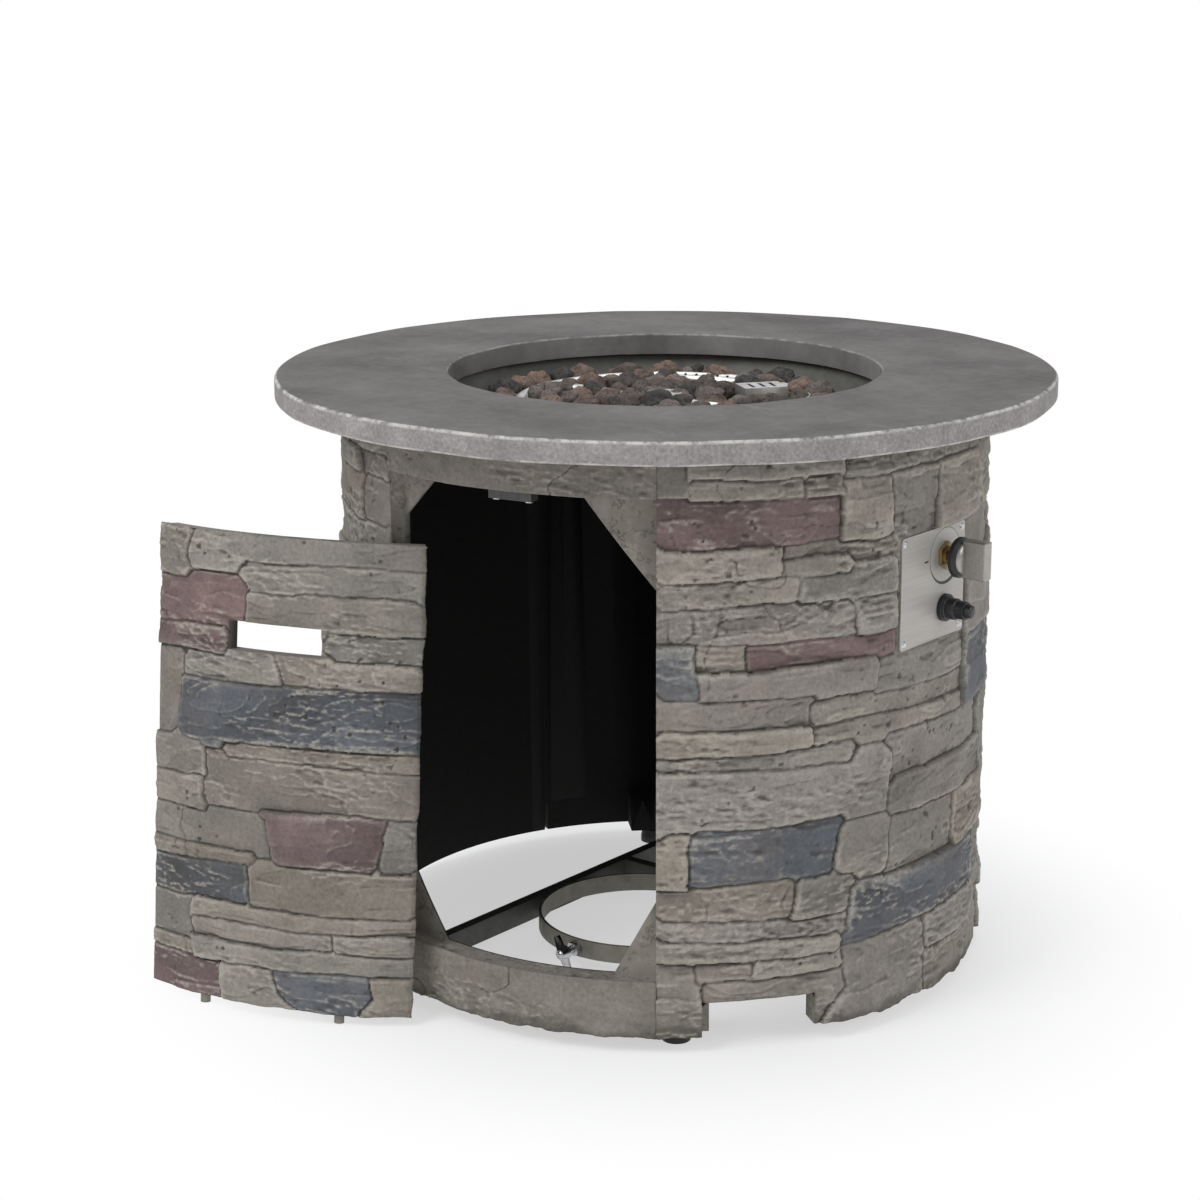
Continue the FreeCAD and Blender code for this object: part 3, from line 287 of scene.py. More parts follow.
def lay_stones(s, z, stones, seed, stand_out, plain=None):
    """Relief in metres, tint, pale wear and painted shade of a wall of stones. plain is a mask of stucco."""
    warp_s = s + 0.0024 * rough(s, z, 0.045, 0.030, seed, 2)
    warp_s = warp_s + 0.0006 * rough(s, z, 0.009, 0.009, seed + 40, 2)
    warp_z = z + 0.0019 * rough(s, z, 0.060, 0.030, seed + 3, 2)
    warp_z = warp_z + 0.0007 * rough(s, z, 0.010, 0.010, seed + 50, 2)
    best = np.full(s.shape, -9.0)
    second = np.full(s.shape, -9.0)
    owner = np.zeros(s.shape, int)
    butt = np.zeros(s.shape, bool)
    for index, (s1, s2, z1, z2, kind) in enumerate(stones):
        draw = np.random.default_rng(seed * 31 + index)
        lean_1, lean_2, fall_1, fall_2 = draw.uniform(-1, 1, 4) * (0.34, 0.34, 0.030, 0.030)
        up, along = warp_z - (z1 + z2) / 2, warp_s - (s1 + s2) / 2
        from_end = np.minimum(warp_s - s1 - lean_1 * up, s2 - warp_s + lean_2 * up)
        from_bed = np.minimum(warp_z - z1 - fall_1 * along, z2 - warp_z + fall_2 * along)
        inside = np.minimum(from_end, from_bed)
        ahead = inside > best
        butt[ahead] = (from_end < from_bed)[ahead]
        second = np.where(ahead, best, np.maximum(second, inside))
        owner[ahead] = index
        best = np.maximum(best, inside)
    border = (best - second) / 2
    face = np.zeros(s.shape)
    brushed = np.ones(s.shape)
    tint = np.empty(s.shape + (3,))
    for index in np.unique(owner):
        s1, s2, z1, z2, kind = stones[index]
        mine = owner == index
        draw = np.random.default_rng(seed * 977 + int(index))
        lean_s, lean_z, value, warm, slope = draw.uniform(-1, 1, 5)
        ss, zz = s[mine], z[mine]
        half_s, half_z = (s2 - s1) / 2, (z2 - z1) / 2
        along = np.clip((ss - s1 - half_s) / half_s, -1.2, 1.2)
        up = np.clip((zz - z1 - half_z) / half_z, -1.2, 1.2)
        cleft = rough(ss + slope * zz, zz, 0.085, 0.022 + 0.30 * half_z, seed + 60 + int(index), 3)
        ledge = np.floor(cleft * 1.7) + ease(0.70, 1.0, cleft * 1.7 - np.floor(cleft * 1.7))
        proud = stand_out[mine] * proud_steps[int(index) % len(proud_steps)]
        face[mine] = proud + 0.0012 * lean_s * along + 0.0010 * lean_z * up + 0.0011 * ledge
        brushed[mine] = 0.8 if kind in "pb" else 1.0
        shade = np.array(stone_tints[kind]) * (1 + 0.10 * value)
        beds = 1 + (0.26 if kind in "pb" else 0.13) * np.clip(cleft, -1, 1)
        tint[mine] = beds[:, None] * shade * np.array([1 + 0.03 * warm, 1, 1 - 0.04 * warm])
    broken = ease(-0.15, 0.75, rough(s, z, 0.085, 0.035, seed + 17, 2))
    face = face + 0.00065 * rough(s, z, 0.022, 0.012, seed + 7, 3)
    chips = 0.7 - 1.5 * np.abs(rough(s + 0.7 * z, z, 0.021, 0.0085, seed + 9, 3))
    face = face + 0.00012 * rough(s, z, 0.0050, 0.0040, seed + 8, 2) + (0.0001 + 0.0010 * broken) * chips
    tight = ease(-0.5, 0.5, rough(s, z, 0.05, 0.05, seed + 19, 2))
    end_joint = np.where(butt, 0.35 + 0.4 * tight, 1.0)
    seam = (1 - ease(0.00025, 0.0011, border)) * (0.35 + 0.65 * tight) * end_joint
    relief = np.maximum(face, 0.0012) - 0.0011 * (1 - ease(0.0, 0.0030, border)) - 0.0014 * seam
    veins = 1 - ease(0.0, 0.045, np.abs(rough(s, z, 0.075, 0.060, seed + 23, 3)))
    veins = veins * ease(0.15, 0.7, rough(s, z, 0.10, 0.08, seed + 27, 2))
    relief = relief - 0.0005 * veins
    if plain is not None:
        coat = 0.0030 + 0.0010 * rough(s, z, 0.05, 0.03, seed + 11)
        coat = coat + 0.00025 * rough(s, z, 0.0085, 0.0055, seed + 12, 3) + (0.0001 + 0.0008 * broken) * chips
        coat = coat - 0.0010 * veins
        relief = np.where(plain > 0.5, coat, relief)
        tint[plain > 0.5] = np.array(DUN) * 0.90
        seam = np.where(plain > 0.5, 0.0, seam)
    pits = ease(0.80, 1.05, rough(s, z, 0.0075, 0.0065, seed + 13, 2))
    pits = pits * ease(0.0, 0.7, rough(s, z, 0.09, 0.05, seed + 14, 2))
    relief = relief - 0.0010 * pits
    fine = relief - blurred(relief, 2)
    broad = relief - blurred(relief, 6)
    worn = ease(0.00007, 0.00040, fine) * 0.85 + ease(0.0003, 0.0014, broad) * 0.45
    # Painted shade: darker in the joints, hollows, pits and cracks, where shade falls.
    painted_shade = ease(0.00010, 0.00055, -fine) * 0.55 + ease(0.0004, 0.0020, -broad) * 0.45
    patch = ease(-0.30, 0.60, rough(s, z, 0.07, 0.03, seed + 15))
    worn = np.clip(worn * brushed * (0.25 + 0.60 * patch + 0.90 * broken), 0, 1)
    painted_shade = np.clip(np.maximum(painted_shade, seam * 0.95) + 0.5 * pits + 0.45 * veins, 0, 1)
    return relief, tint, worn, painted_shade


def cast_wall(name, columns, rows, cut, radius_of, place, tint, worn, painted_shade, back_radius):
    """A sheet of square cells laid over a wall, with cells cut out and its edges turned inwards."""
    across_count, up_count = len(columns) - 1, len(rows) - 1
    bm = bmesh.new()
    bmesh.ops.create_grid(bm, x_segments=across_count, y_segments=up_count, size=0.5)
    cell = bm.verts.layers.int.new("cell")
    turned = bm.verts.layers.int.new("turned")
    for vert in bm.verts:
        i = round((vert.co.x + 0.5) * across_count)
        j = round((vert.co.y + 0.5) * up_count)
        vert[cell] = j * (across_count + 1) + i
    gone = []
    if cut is not None:
        for face in bm.faces:
            centre = face.calc_center_median()
            if cut[int((centre.y + 0.5) * up_count), int((centre.x + 0.5) * across_count)]:
                gone.append(face)
    bmesh.ops.delete(bm, geom=gone, context="FACES")
    rim = [edge for edge in bm.edges if edge.is_boundary]
    lip = bmesh.ops.extrude_edge_only(bm, edges=rim)
    for item in lip["geom"]:
        if isinstance(item, bmesh.types.BMVert):
            item[turned] = 1
    mesh = mesh_of(bm, name)
    count = len(mesh.vertices)
    cells = np.empty(count, np.int32)
    mesh.attributes["cell"].data.foreach_get("value", cells)
    inner = np.empty(count, np.int32)
    mesh.attributes["turned"].data.foreach_get("value", inner)
    column, row = cells % (across_count + 1), cells // (across_count + 1)
    face_radius = radius_of.ravel()[cells]
    radius = np.where(inner > 0, np.minimum(back_radius, face_radius - 0.0008), face_radius)
    points = place(np.asarray(columns)[column], np.asarray(rows)[row], radius)
    mesh.vertices.foreach_set("co", points.astype(np.float32).ravel())
    paint = mesh.attributes.new("tint", "FLOAT_COLOR", "POINT")
    colour = np.ones((count, 4), np.float32)
    colour[:, :3] = tint.reshape(-1, 3)[cells]
    paint.data.foreach_set("color", colour.ravel())
    # Red holds the pale wear and green the painted shade; the lip that turns in gets a fixed share of painted
    # shade.
    marks = mesh.attributes.new("marks", "FLOAT_COLOR", "POINT")
    shade = np.zeros((count, 4), np.float32)
    shade[:, 0] = np.where(inner > 0, 0.1, worn.ravel()[cells])
    shade[:, 1] = np.where(inner > 0, 0.25, painted_shade.ravel()[cells])
    shade[:, 3] = 1
    marks.data.foreach_set("color", shade.ravel())
    mesh.attributes.remove(mesh.attributes["cell"])
    mesh.attributes.remove(mesh.attributes["turned"])
    smoothed(mesh)
    mesh.update()
    return placed(mesh, name)


def round_wall(bearing, height, radius):
    turn = np.radians(bearing)
    return np.stack([radius * np.sin(turn), -radius * np.cos(turn), height], axis=1)


def hemmed_wall(bearing, height, radius):
    """The round wall with a ragged lower edge to its outer face."""
    along = np.radians(bearing) * wall_outer
    ragged = 0.0009 + 0.0019 * rough(along, along * 0, 0.022, 1.0, 77, 4)
    share = ease(body_low + 0.012, body_low, height) * ease(wall_outer, wall_outer + 0.0012, radius)
    return round_wall(bearing, height - ragged * share, radius)


def steps(low, high, pitch, fixed=()):
    """Even positions from low to high that also land on the fixed ones."""
    marks = sorted({low, high, *[f for f in fixed if low < f < high]})
    runs = []
    for start, end in zip(marks[:-1], marks[1:]):
        count = max(1, round((end - start) / pitch))
        runs.append(np.linspace(start, end, count, endpoint=False))
    return np.append(np.concatenate(runs), high)


def attribute(nodes, name):
    reader = nodes.new("ShaderNodeAttribute")
    reader.attribute_name = name
    return reader.outputs["Color"]


def ramp(nodes, links, source, stops):
    shade = nodes.new("ShaderNodeValToRGB")
    while len(shade.color_ramp.elements) < len(stops):
        shade.color_ramp.elements.new(0.5)
    for element, (spot, colour) in zip(shade.color_ramp.elements, stops):
        element.position = spot
        element.color = (*colour, 1) if isinstance(colour, tuple) else (colour, colour, colour, 1)
    links.new(source, shade.inputs["Fac"])
    return shade.outputs["Color"]


def noise(nodes, links, scale, detail=4.0, roughness=0.6, stretch=None):
    place = nodes.new("ShaderNodeTexCoord")
    field = nodes.new("ShaderNodeTexNoise")
    field.inputs["Scale"].default_value = scale
    field.inputs["Detail"].default_value = detail
    field.inputs["Roughness"].default_value = roughness
    if stretch:
        mapping = nodes.new("ShaderNodeMapping")
        mapping.inputs["Scale"].default_value = stretch
        links.new(place.outputs["Object"], mapping.inputs["Vector"])
        links.new(mapping.outputs["Vector"], field.inputs["Vector"])
    else:
        links.new(place.outputs["Object"], field.inputs["Vector"])
    return field.outputs["Fac"]


def patches(nodes, links, grain, stops):
    """Noise of a scale, detail, roughness and stretch, sent through a ramp."""
    return ramp(nodes, links, noise(nodes, links, *grain), stops)


def mixed(nodes, links, kind, amount, one, two):
    mix = nodes.new("ShaderNodeMix")
    mix.data_type = "RGBA"
    mix.blend_type = kind
    mix.clamp_factor = True
    for socket, value in ((mix.inputs["Factor"], amount), (mix.inputs["A"], one), (mix.inputs["B"], two)):
        if isinstance(value, bpy.types.NodeSocket):
            links.new(value, socket)
        elif isinstance(value, tuple):
            socket.default_value = (*value, 1)
        else:
            socket.default_value = value
    return mix.outputs["Result"]


def number(nodes, links, operation, one, two=0.0):
    maths = nodes.new("ShaderNodeMath")
    maths.operation = operation
    maths.use_clamp = operation != "SUBTRACT"
    for socket, value in ((maths.inputs[0], one), (maths.inputs[1], two)):
        if isinstance(value, bpy.types.NodeSocket):
            links.new(value, socket)
        else:
            socket.default_value = value
    return maths.outputs[0]


def laid(nodes, links, share, strength, under, over):
    """The colour over, laid on the colour under as strongly as share times strength."""
    return mixed(nodes, links, "MIX", number(nodes, links, "MULTIPLY", share, strength), under, over)


def bumped(nodes, links, surface, height, distance, strength):
    bump = nodes.new("ShaderNodeBump")
    bump.inputs["Strength"].default_value = strength
    bump.inputs["Distance"].default_value = distance
    links.new(height, bump.inputs["Height"])
    links.new(bump.outputs["Normal"], surface.inputs["Normal"])


def stone_finish():
    """Coloured cast: tint from the stone, painted shade in the joints and hollows, pale dry brushing on what
    stands out.
    """
    made, nodes, links, surface = material("ledge_stone_cast", 0.82, 0.30)
    tint = attribute(nodes, "tint")
    split = nodes.new("ShaderNodeSeparateColor")
    links.new(attribute(nodes, "marks"), split.inputs["Color"])
    cloud = patches(nodes, links, (22, 6, 0.62), ((0.30, 0.78), (0.70, 1.20)))
    colour = mixed(nodes, links, "MULTIPLY", 1.0, tint, cloud)
    speck = patches(nodes, links, (260, 4, 0.75), ((0.30, 0.70), (0.50, 1.0), (0.74, 1.30)))
    colour = mixed(nodes, links, "MULTIPLY", 0.80, colour, speck)
    rust = patches(nodes, links, (14, 3, 0.5), ((0.52, 0.0), (0.72, 1.0)))
    colour = laid(nodes, links, rust, 0.16, colour, (0.20, 0.135, 0.10))
    # Painted shade: the green mark, broken up by noise, darkens the joints and hollows.
    hollow_shade = number(nodes, links, "MULTIPLY", split.outputs["Green"],
                   patches(nodes, links, (60, 4), ((0.25, 0.55), (0.7, 1.0))))
    colour = mixed(nodes, links, "MIX", hollow_shade, colour, (0.040, 0.034, 0.027))
    chalk = patches(nodes, links, (190, 5, 0.75), ((0.32, 0.0), (0.58, 1.0)))
    pale = number(nodes, links, "MULTIPLY", split.outputs["Red"], chalk)
    colour = laid(nodes, links, pale, 0.72, colour, CHALK)
    links.new(colour, surface.inputs["Base Color"])
    grain = number(nodes, links, "ADD", noise(nodes, links, 420, 4, 0.75), noise(nodes, links, 130, 5, 0.6))
    bumped(nodes, links, surface, grain, 0.0008, 0.5)
    return made


cast_finish = stone_finish()
all_stones = list(front_stones) + course_stones()
wall_stones = [(math.radians(b1) * wall_outer, math.radians(b2) * wall_outer, z1 / 1000, z2 / 1000, kind)
               for b1, b2, z1, z2, kind in all_stones]


def body_skin(name, first, last, low, high, seed, plain=False):
    """One part of the body's outside, with the arches cut out of its lower edge."""
    arch_edges = [a for start in arch_starts for a in (start, start + arch_span)]
    columns = steps(first, last, 0.31, arch_edges + [41.0])
    rows = steps(low, high, 0.00165, (arch_top, sill_top, door_head))
    s, z = np.meshgrid(np.radians(columns) * wall_outer, rows)
    bearing = np.degrees(s / wall_outer)
    stand_out = stone_proud + 0.0018 * ease(300.0, 270.0, bearing)
    stucco = np.full(s.shape, 1.0 if plain else 0.0)
    if not plain:
        stucco = np.where((bearing < 41.2) & (z > door_head), 1.0, stucco)
        near_plate = (np.abs(bearing - plate_bearing) < 10.6) & (np.abs(z - plate_z) < 0.0565)
        stucco = np.where(near_plate, 1.0, stucco)
    relief, tint, worn, painted_shade = lay_stones(s, z, wall_stones, seed, stand_out, stucco)
    # A ragged dark band along the foot of the wall, laid into the painted shade mask.
    hem = z - body_low + 0.006 * rough(s, z, 0.025, 0.012, seed + 70, 2)
    painted_shade = np.maximum(painted_shade, 0.70 * (1 - ease(0.002, 0.014, hem)))
    if high >= body_high:
        relief = np.where(z > 0.574, np.minimum(relief, 0.0035), relief)
    radius = wall_outer + relief
    recess = (np.abs(bearing - plate_bearing) < 10.2) & (np.abs(z - plate_z) < 0.056)
    radius = np.where(recess, plate_seat / np.cos(np.radians(bearing - plate_bearing)), radius)
    middle_b = (columns[:-1] + columns[1:]) / 2
    middle_z = (rows[:-1] + rows[1:]) / 2
    cut = np.zeros((len(middle_z), len(middle_b)), bool)
    for start in set(arch_starts) - {closed_arch}:
        inside = (middle_b > start) & (middle_b < start + arch_span)
        cut |= inside[None, :] & (middle_z < arch_top)[:, None]
    cut |= (np.abs(middle_b - plate_bearing) < 7.4)[None, :] & (np.abs(middle_z - plate_z) < 0.050)[:, None]
    piece = cast_wall(name, columns, rows, cut, radius, hemmed_wall, tint, worn, painted_shade, wall_outer)
    piece.data.materials.append(cast_finish)
    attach(piece, "root")


skin_edges = (door_right, 126.25, 216.25, 290.0, 360.0 + door_left)
for side, first, last in zip(("right", "back", "left", "front_left"), skin_edges, skin_edges[1:]):
    body_skin(f"body_skin_{side}", first, last, body_low, body_high, 11)
body_skin("body_lintel", door_left, door_right, door_head, body_high, 15, plain=True)
body_skin("body_sill", door_left, door_right, body_low, sill_top, 16, plain=True)


def cad_copy(name, node, body, finish, keep=None, sharp=35.0):
    """A merged copy of a CAD node with round faces shaded smooth, and only the faces that keep asks for."""
    bm = bmesh.new()
    bm.from_mesh(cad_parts[node].data)
    bmesh.ops.remove_doubles(bm, verts=bm.verts, dist=0.000002)
    if keep is not None:
        gone = [face for face in bm.faces if not any(keep(vert.co) for vert in face.verts)]
        bmesh.ops.delete(bm, geom=gone, context="FACES")
    mesh = mesh_of(bm, name)
    smoothed(mesh, sharp)
    piece = placed(mesh, name)
    piece.data.materials.append(finish)
    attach(piece, body)
    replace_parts(piece, node)


def within(nodes, links, outside, inside):
    """0 beyond the radius outside and 1 within the radius inside, measured from the table's axis."""
    place = nodes.new("ShaderNodeTexCoord")
    flat = nodes.new("ShaderNodeVectorMath")
    flat.operation = "MULTIPLY"
    flat.inputs[1].default_value = (1, 1, 0)
    links.new(place.outputs["Object"], flat.inputs[0])
    reach = nodes.new("ShaderNodeVectorMath")
    reach.operation = "LENGTH"
    links.new(flat.outputs["Vector"], reach.inputs[0])
    share = nodes.new("ShaderNodeMapRange")
    share.inputs["From Min"].default_value = outside
    share.inputs["From Max"].default_value = inside
    links.new(reach.outputs["Value"], share.inputs["Value"])
    return share.outputs["Result"]


def core_finish():
    """Bare cast of the jambs, sill and corner webs, and near-black on the inside of the wall."""
    made, nodes, links, surface = material("bare_cast", 0.88, 0.2)
    coat = within(nodes, links, wall_inner + 0.0022, wall_inner + 0.0010)
    cloud = patches(nodes, links, (24, 6, 0.65), ((0.30, 0.80), (0.70, 1.16)))
    colour = mixed(nodes, links, "MULTIPLY", 1.0, DUN, cloud)
    pits = patches(nodes, links, (120, 4, 0.7), ((0.31, 0.30), (0.42, 1.0)))
    colour = mixed(nodes, links, "MULTIPLY", 0.8, colour, pits)
    vein = patches(nodes, links, (17, 6, 0.62), ((0.488, 1.0), (0.497, 0.45), (0.503, 0.45), (0.512, 1.0)))
    colour = mixed(nodes, links, "MULTIPLY", 0.7, colour, vein)
    rubbed = number(nodes, links, "MULTIPLY", patches(nodes, links, (19, 4, 0.6), ((0.50, 0.0), (0.68, 1.0))),
                    patches(nodes, links, (150, 5, 0.75), ((0.46, 0.0), (0.64, 1.0))))
    colour = laid(nodes, links, rubbed, 0.75, colour, CHALK)
    colour = mixed(nodes, links, "MIX", coat, colour, (0.0135, 0.0130, 0.0125))
    links.new(colour, surface.inputs["Base Color"])
    bumped(nodes, links, surface, noise(nodes, links, 85, 7, 0.72), 0.0030, 0.6)
    return made


# What the skins lie on: the shell without its outer face, so the jambs, door seat, corner webs, foot
# bosses, bored holes, valve window and the black inside of the wall.
def is_core(spot):
    behind_plate = spot.x > plate_seat + 0.0001 and abs(spot.y) < 0.06 and abs(spot.z - plate_z) < 0.058
    return math.hypot(spot.x, spot.y) < wall_outer - 0.0002 and not behind_plate


def rim_infill():
    """Block that closes the rear arch, whose edge the photograph shows plain."""
    bm = bmesh.new()
    bmesh.ops.create_cube(bm, size=1.0)
    bmesh.ops.subdivide_edges(bm, edges=[e for e in bm.edges if abs((e.verts[0].co - e.verts[1].co).x) > 0.5],
                              cuts=15, use_grid_fill=True)
    for vert in bm.verts:
        turn = math.radians(closed_arch + arch_span * (vert.co.x + 0.5))
        radius = wall_inner + (wall_outer - 0.0005 - wall_inner) * (0.5 - vert.co.y)
        height = body_low + (arch_top - body_low) * (vert.co.z + 0.5)
        vert.co = around(radius, turn, height)
    bmesh.ops.recalc_face_normals(bm, faces=bm.faces)
    piece = placed(mesh_of(bm, "rim_infill"), "rim_infill")
    piece.data.materials.append(bare_cast)
    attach(piece, "root")


bare_cast = core_finish()
cad_copy("body_core", "body_shell", "root", bare_cast, is_core)
rim_infill()


# The lift-out door: the same cast on a curved panel with a hand slot, leaning on the left side of the
# doorway on its two pegs. It is drawn about the table's axis with its lower edge at zero.
door_face = 0.328
door_tall = 0.465
door_half = 26.25 - math.degrees(0.002 / door_face)
slot_half = 0.051
slot_low, slot_high = 0.351, 0.380
door_lean = math.asin(0.0591 / door_tall)
door_turn = math.radians(17.4)
drawn_tall, drawn_half = 466.0, 26.0
door_stones = (
    (-26, -19, 424, 462, "g"), (-18, 26, 442, 462, "g"), (-5, 26, 413, 440, "d"), (-26, -6, 373, 413, "p"),
    (-5, 26, 378, 411, "g"), (11, 26, 350, 376, "d"), (-26, -10, 350, 371, "p"), (-19, 1, 321, 345, "d"),
    (2, 26, 325, 348, "w"), (-26, -20, 257, 345, "g"), (-19, 26, 262, 319, "b"), (-9, 26, 245, 260, "w"),
    (-26, -14, 222, 254, "d"), (-13, 26, 199, 243, "w"), (-26, -14, 190, 219, "g"), (-26, 0, 152, 187, "d"),
    (1, 20, 144, 196, "p"), (21, 26, 144, 196, "d"), (-26, -3, 138, 150, "w"), (-26, -4, 98, 136, "b"),
    (-3, 26, 98, 142, "d"), (-26, -16, 56, 95, "g"), (-15, 26, 80, 96, "w"), (-15, 12, 62, 78, "w"),
    (13, 26, 62, 78, "d"), (-26, -16, 40, 53, "d"), (-15, 26, 40, 59, "d"), (-26, -9, 5, 37, "p"),
    (-8, 2, 5, 37, "d"), (3, 19, 18, 37, "b"), (20, 26, 5, 37, "g"),
)
door_along = Vector((math.cos(door_turn), math.sin(door_turn), 0))
door_out = Vector((math.sin(door_turn), -math.cos(door_turn), 0))
door_up = Vector((0, 0, 1)) * math.cos(door_lean) - door_out * math.sin(door_lean)
door_front = door_out * math.cos(door_lean) + Vector((0, 0, 1)) * math.sin(door_lean)
door_foot = Vector((-0.169, -0.419, 0.005 * math.sin(door_lean)))
door_base = door_foot - door_front * (0.320 * math.cos(math.radians(13.5))) + door_up * 0.011
door_stand = Matrix.Translation(door_base) @ Matrix((door_along, -door_front, door_up)).transposed().to_4x4()
door_lie = door_stand.inverted()


def door_wall(bearing, height, radius):
    """The door's face, whose outer stones stand a little past its flat edges."""
    along, proud = np.radians(bearing) * door_face, ease(door_face, door_face + 0.0012, radius)
    side = np.sign(bearing) * proud * ease(0.93, 1.0, np.abs(bearing) / door_half)
    end = np.sign(height - door_tall / 2) * proud * ease(0.955, 1.0, np.abs(2 * height / door_tall - 1))
    swell = 0.0014 + 0.0016 * rough(height, side, 0.030, 1.0, 78, 4)
    crown = 0.0010 + 0.0014 * rough(along, end, 0.034, 1.0, 79, 4)
    points = round_wall(bearing + np.degrees(side * swell / door_face), height + end * crown, radius)
    turn = np.array(door_stand.to_3x3())
    return points @ turn.T + np.array(door_stand.translation)


def door_skin():
    wide = math.radians(door_half / drawn_half) * door_face
    tall = door_tall / drawn_tall
    stones = [(a1 * wide, a2 * wide, z1 * tall, z2 * tall, kind) for a1, a2, z1, z2, kind in door_stones]
    slot_edge = math.degrees(math.asin(slot_half / door_face))
    columns = steps(-door_half, door_half, 0.245, (-slot_edge, slot_edge))
    rows = steps(0.0, door_tall, 0.0013, (slot_low, slot_high))
    s, z = np.meshgrid(np.radians(columns) * door_face, rows)
    relief, tint, worn, painted_shade = lay_stones(s, z, stones, 21, np.full(s.shape, stone_proud))
    tint = tint * 0.94
    edge = np.minimum.reduce([s - s.min(), s.max() - s, z, z.max() - z])
    relief = relief * (0.45 + 0.55 * ease(0.0, 0.004, edge))
    middle_b = (columns[:-1] + columns[1:]) / 2
    middle_z = (rows[:-1] + rows[1:]) / 2
    cut = (np.abs(middle_b) < slot_edge)[None, :] & ((middle_z > slot_low) & (middle_z < slot_high))[:, None]
    radius = door_face + relief
    piece = cast_wall("door_skin", columns, rows, cut, radius, door_wall, tint, worn, painted_shade, door_face)
    piece.data.materials.append(cast_finish)
    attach(piece, "door")


def is_door_core(spot):
    drawn = door_lie @ spot
    return math.hypot(drawn.x, drawn.y) < door_face - 0.0002


def door_back_finish():
    made, nodes, links, surface = material("door_back_cast", 0.88)
    cloud = patches(nodes, links, (20, 6, 0.65), ((0.30, 0.82), (0.70, 1.15)))
    colour = mixed(nodes, links, "MULTIPLY", 1.0, GREY, cloud)
    pits = patches(nodes, links, (90, 6, 0.7), ((0.28, 0.40), (0.37, 1.0)))
    links.new(mixed(nodes, links, "MULTIPLY", 0.6, colour, pits), surface.inputs["Base Color"])
    bumped(nodes, links, surface, noise(nodes, links, 130, 5, 0.7), 0.0014, 0.6)
    return made


door_skin()
cad_copy("door_core", "door_panel", "door", door_back_finish(), is_door_core)


# The top: a cast ring with rubbed grey faces, a rougher pale rim and slightly wavy edges.
top_outer, top_hole = 0.395, 0.220
top_low, top_high = 0.587, 0.610


def ring_profile():
    """Section of the top as (radius, height) points, once round, with rounded arrises."""
    points = []
    for radius, height, start, turn in ((top_outer - 0.0030, top_low + 0.0030, -90, 0.0030),
                                        (top_outer - 0.0040, top_high - 0.0040, 0, 0.0040),
                                        (top_hole + 0.0025, top_high - 0.0025, 90, 0.0025),
                                        (top_hole + 0.0008, top_low + 0.0008, 180, 0.0008)):
        for step in range(7):
            angle = math.radians(start + 15 * step)
            points.append((radius + turn * math.cos(angle), height + turn * math.sin(angle)))
    dense = []
    for (r1, z1), (r2, z2) in zip(points, points[1:] + points[:1]):
        count = max(1, round(math.hypot(r2 - r1, z2 - z1) / 0.006))
        dense += [(r1 + (r2 - r1) * k / count, z1 + (z2 - z1) * k / count) for k in range(count)]
    return dense + dense[:1]


def turned(name, profile, segments, middle=(0, 0, 0), axis=None, shape=None, sharp=35.0):
    """A surface of revolution: profile of (radius, height) about an axis through the middle."""
    bm = bmesh.new()
    count = len(profile) - 1
    bmesh.ops.create_grid(bm, x_segments=segments, y_segments=count, size=0.5)
    way = Vector(axis or (0, 0, 1)).to_track_quat("Z", "X").to_matrix()
    for vert in bm.verts:
        turn = (vert.co.x + 0.5) * 2 * math.pi
        radius, height = profile[round((vert.co.y + 0.5) * count)]
        if shape:
            radius, height = shape(turn, radius, height)
        spot = way @ Vector((radius * math.cos(turn), radius * math.sin(turn), height))
        vert.co = Vector(middle) + spot
    bmesh.ops.remove_doubles(bm, verts=bm.verts, dist=0.000005)
    bmesh.ops.recalc_face_normals(bm, faces=bm.faces)
    mesh = mesh_of(bm, name)
    smoothed(mesh, sharp)
    return placed(mesh, name)


def given(piece, body, slot, finish, *stands_for):
    piece.data.materials.append(finish)
    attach(piece, body)
    if stands_for:
        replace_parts(piece, *stands_for)
    return piece


def wavy_edge(turn, radius, height):
    swell = 0.0006 * math.sin(3 * turn + 0.8) + 0.0005 * math.sin(7 * turn) + 0.0004 * math.sin(17 * turn + 2)
    out = max(0.0, min(1.0, (radius - 0.385) / 0.008))
    near_hole = max(0.0, min(1.0, (0.228 - radius) / 0.006))
    dip = 0.0007 * math.sin(5 * turn + 1) + 0.0004 * math.sin(13 * turn)
    drop = dip * out if height < 0.6 else 0.6 * dip * (out + near_hole)
    return radius + swell * (out + 0.8 * near_hole), height - abs(drop)


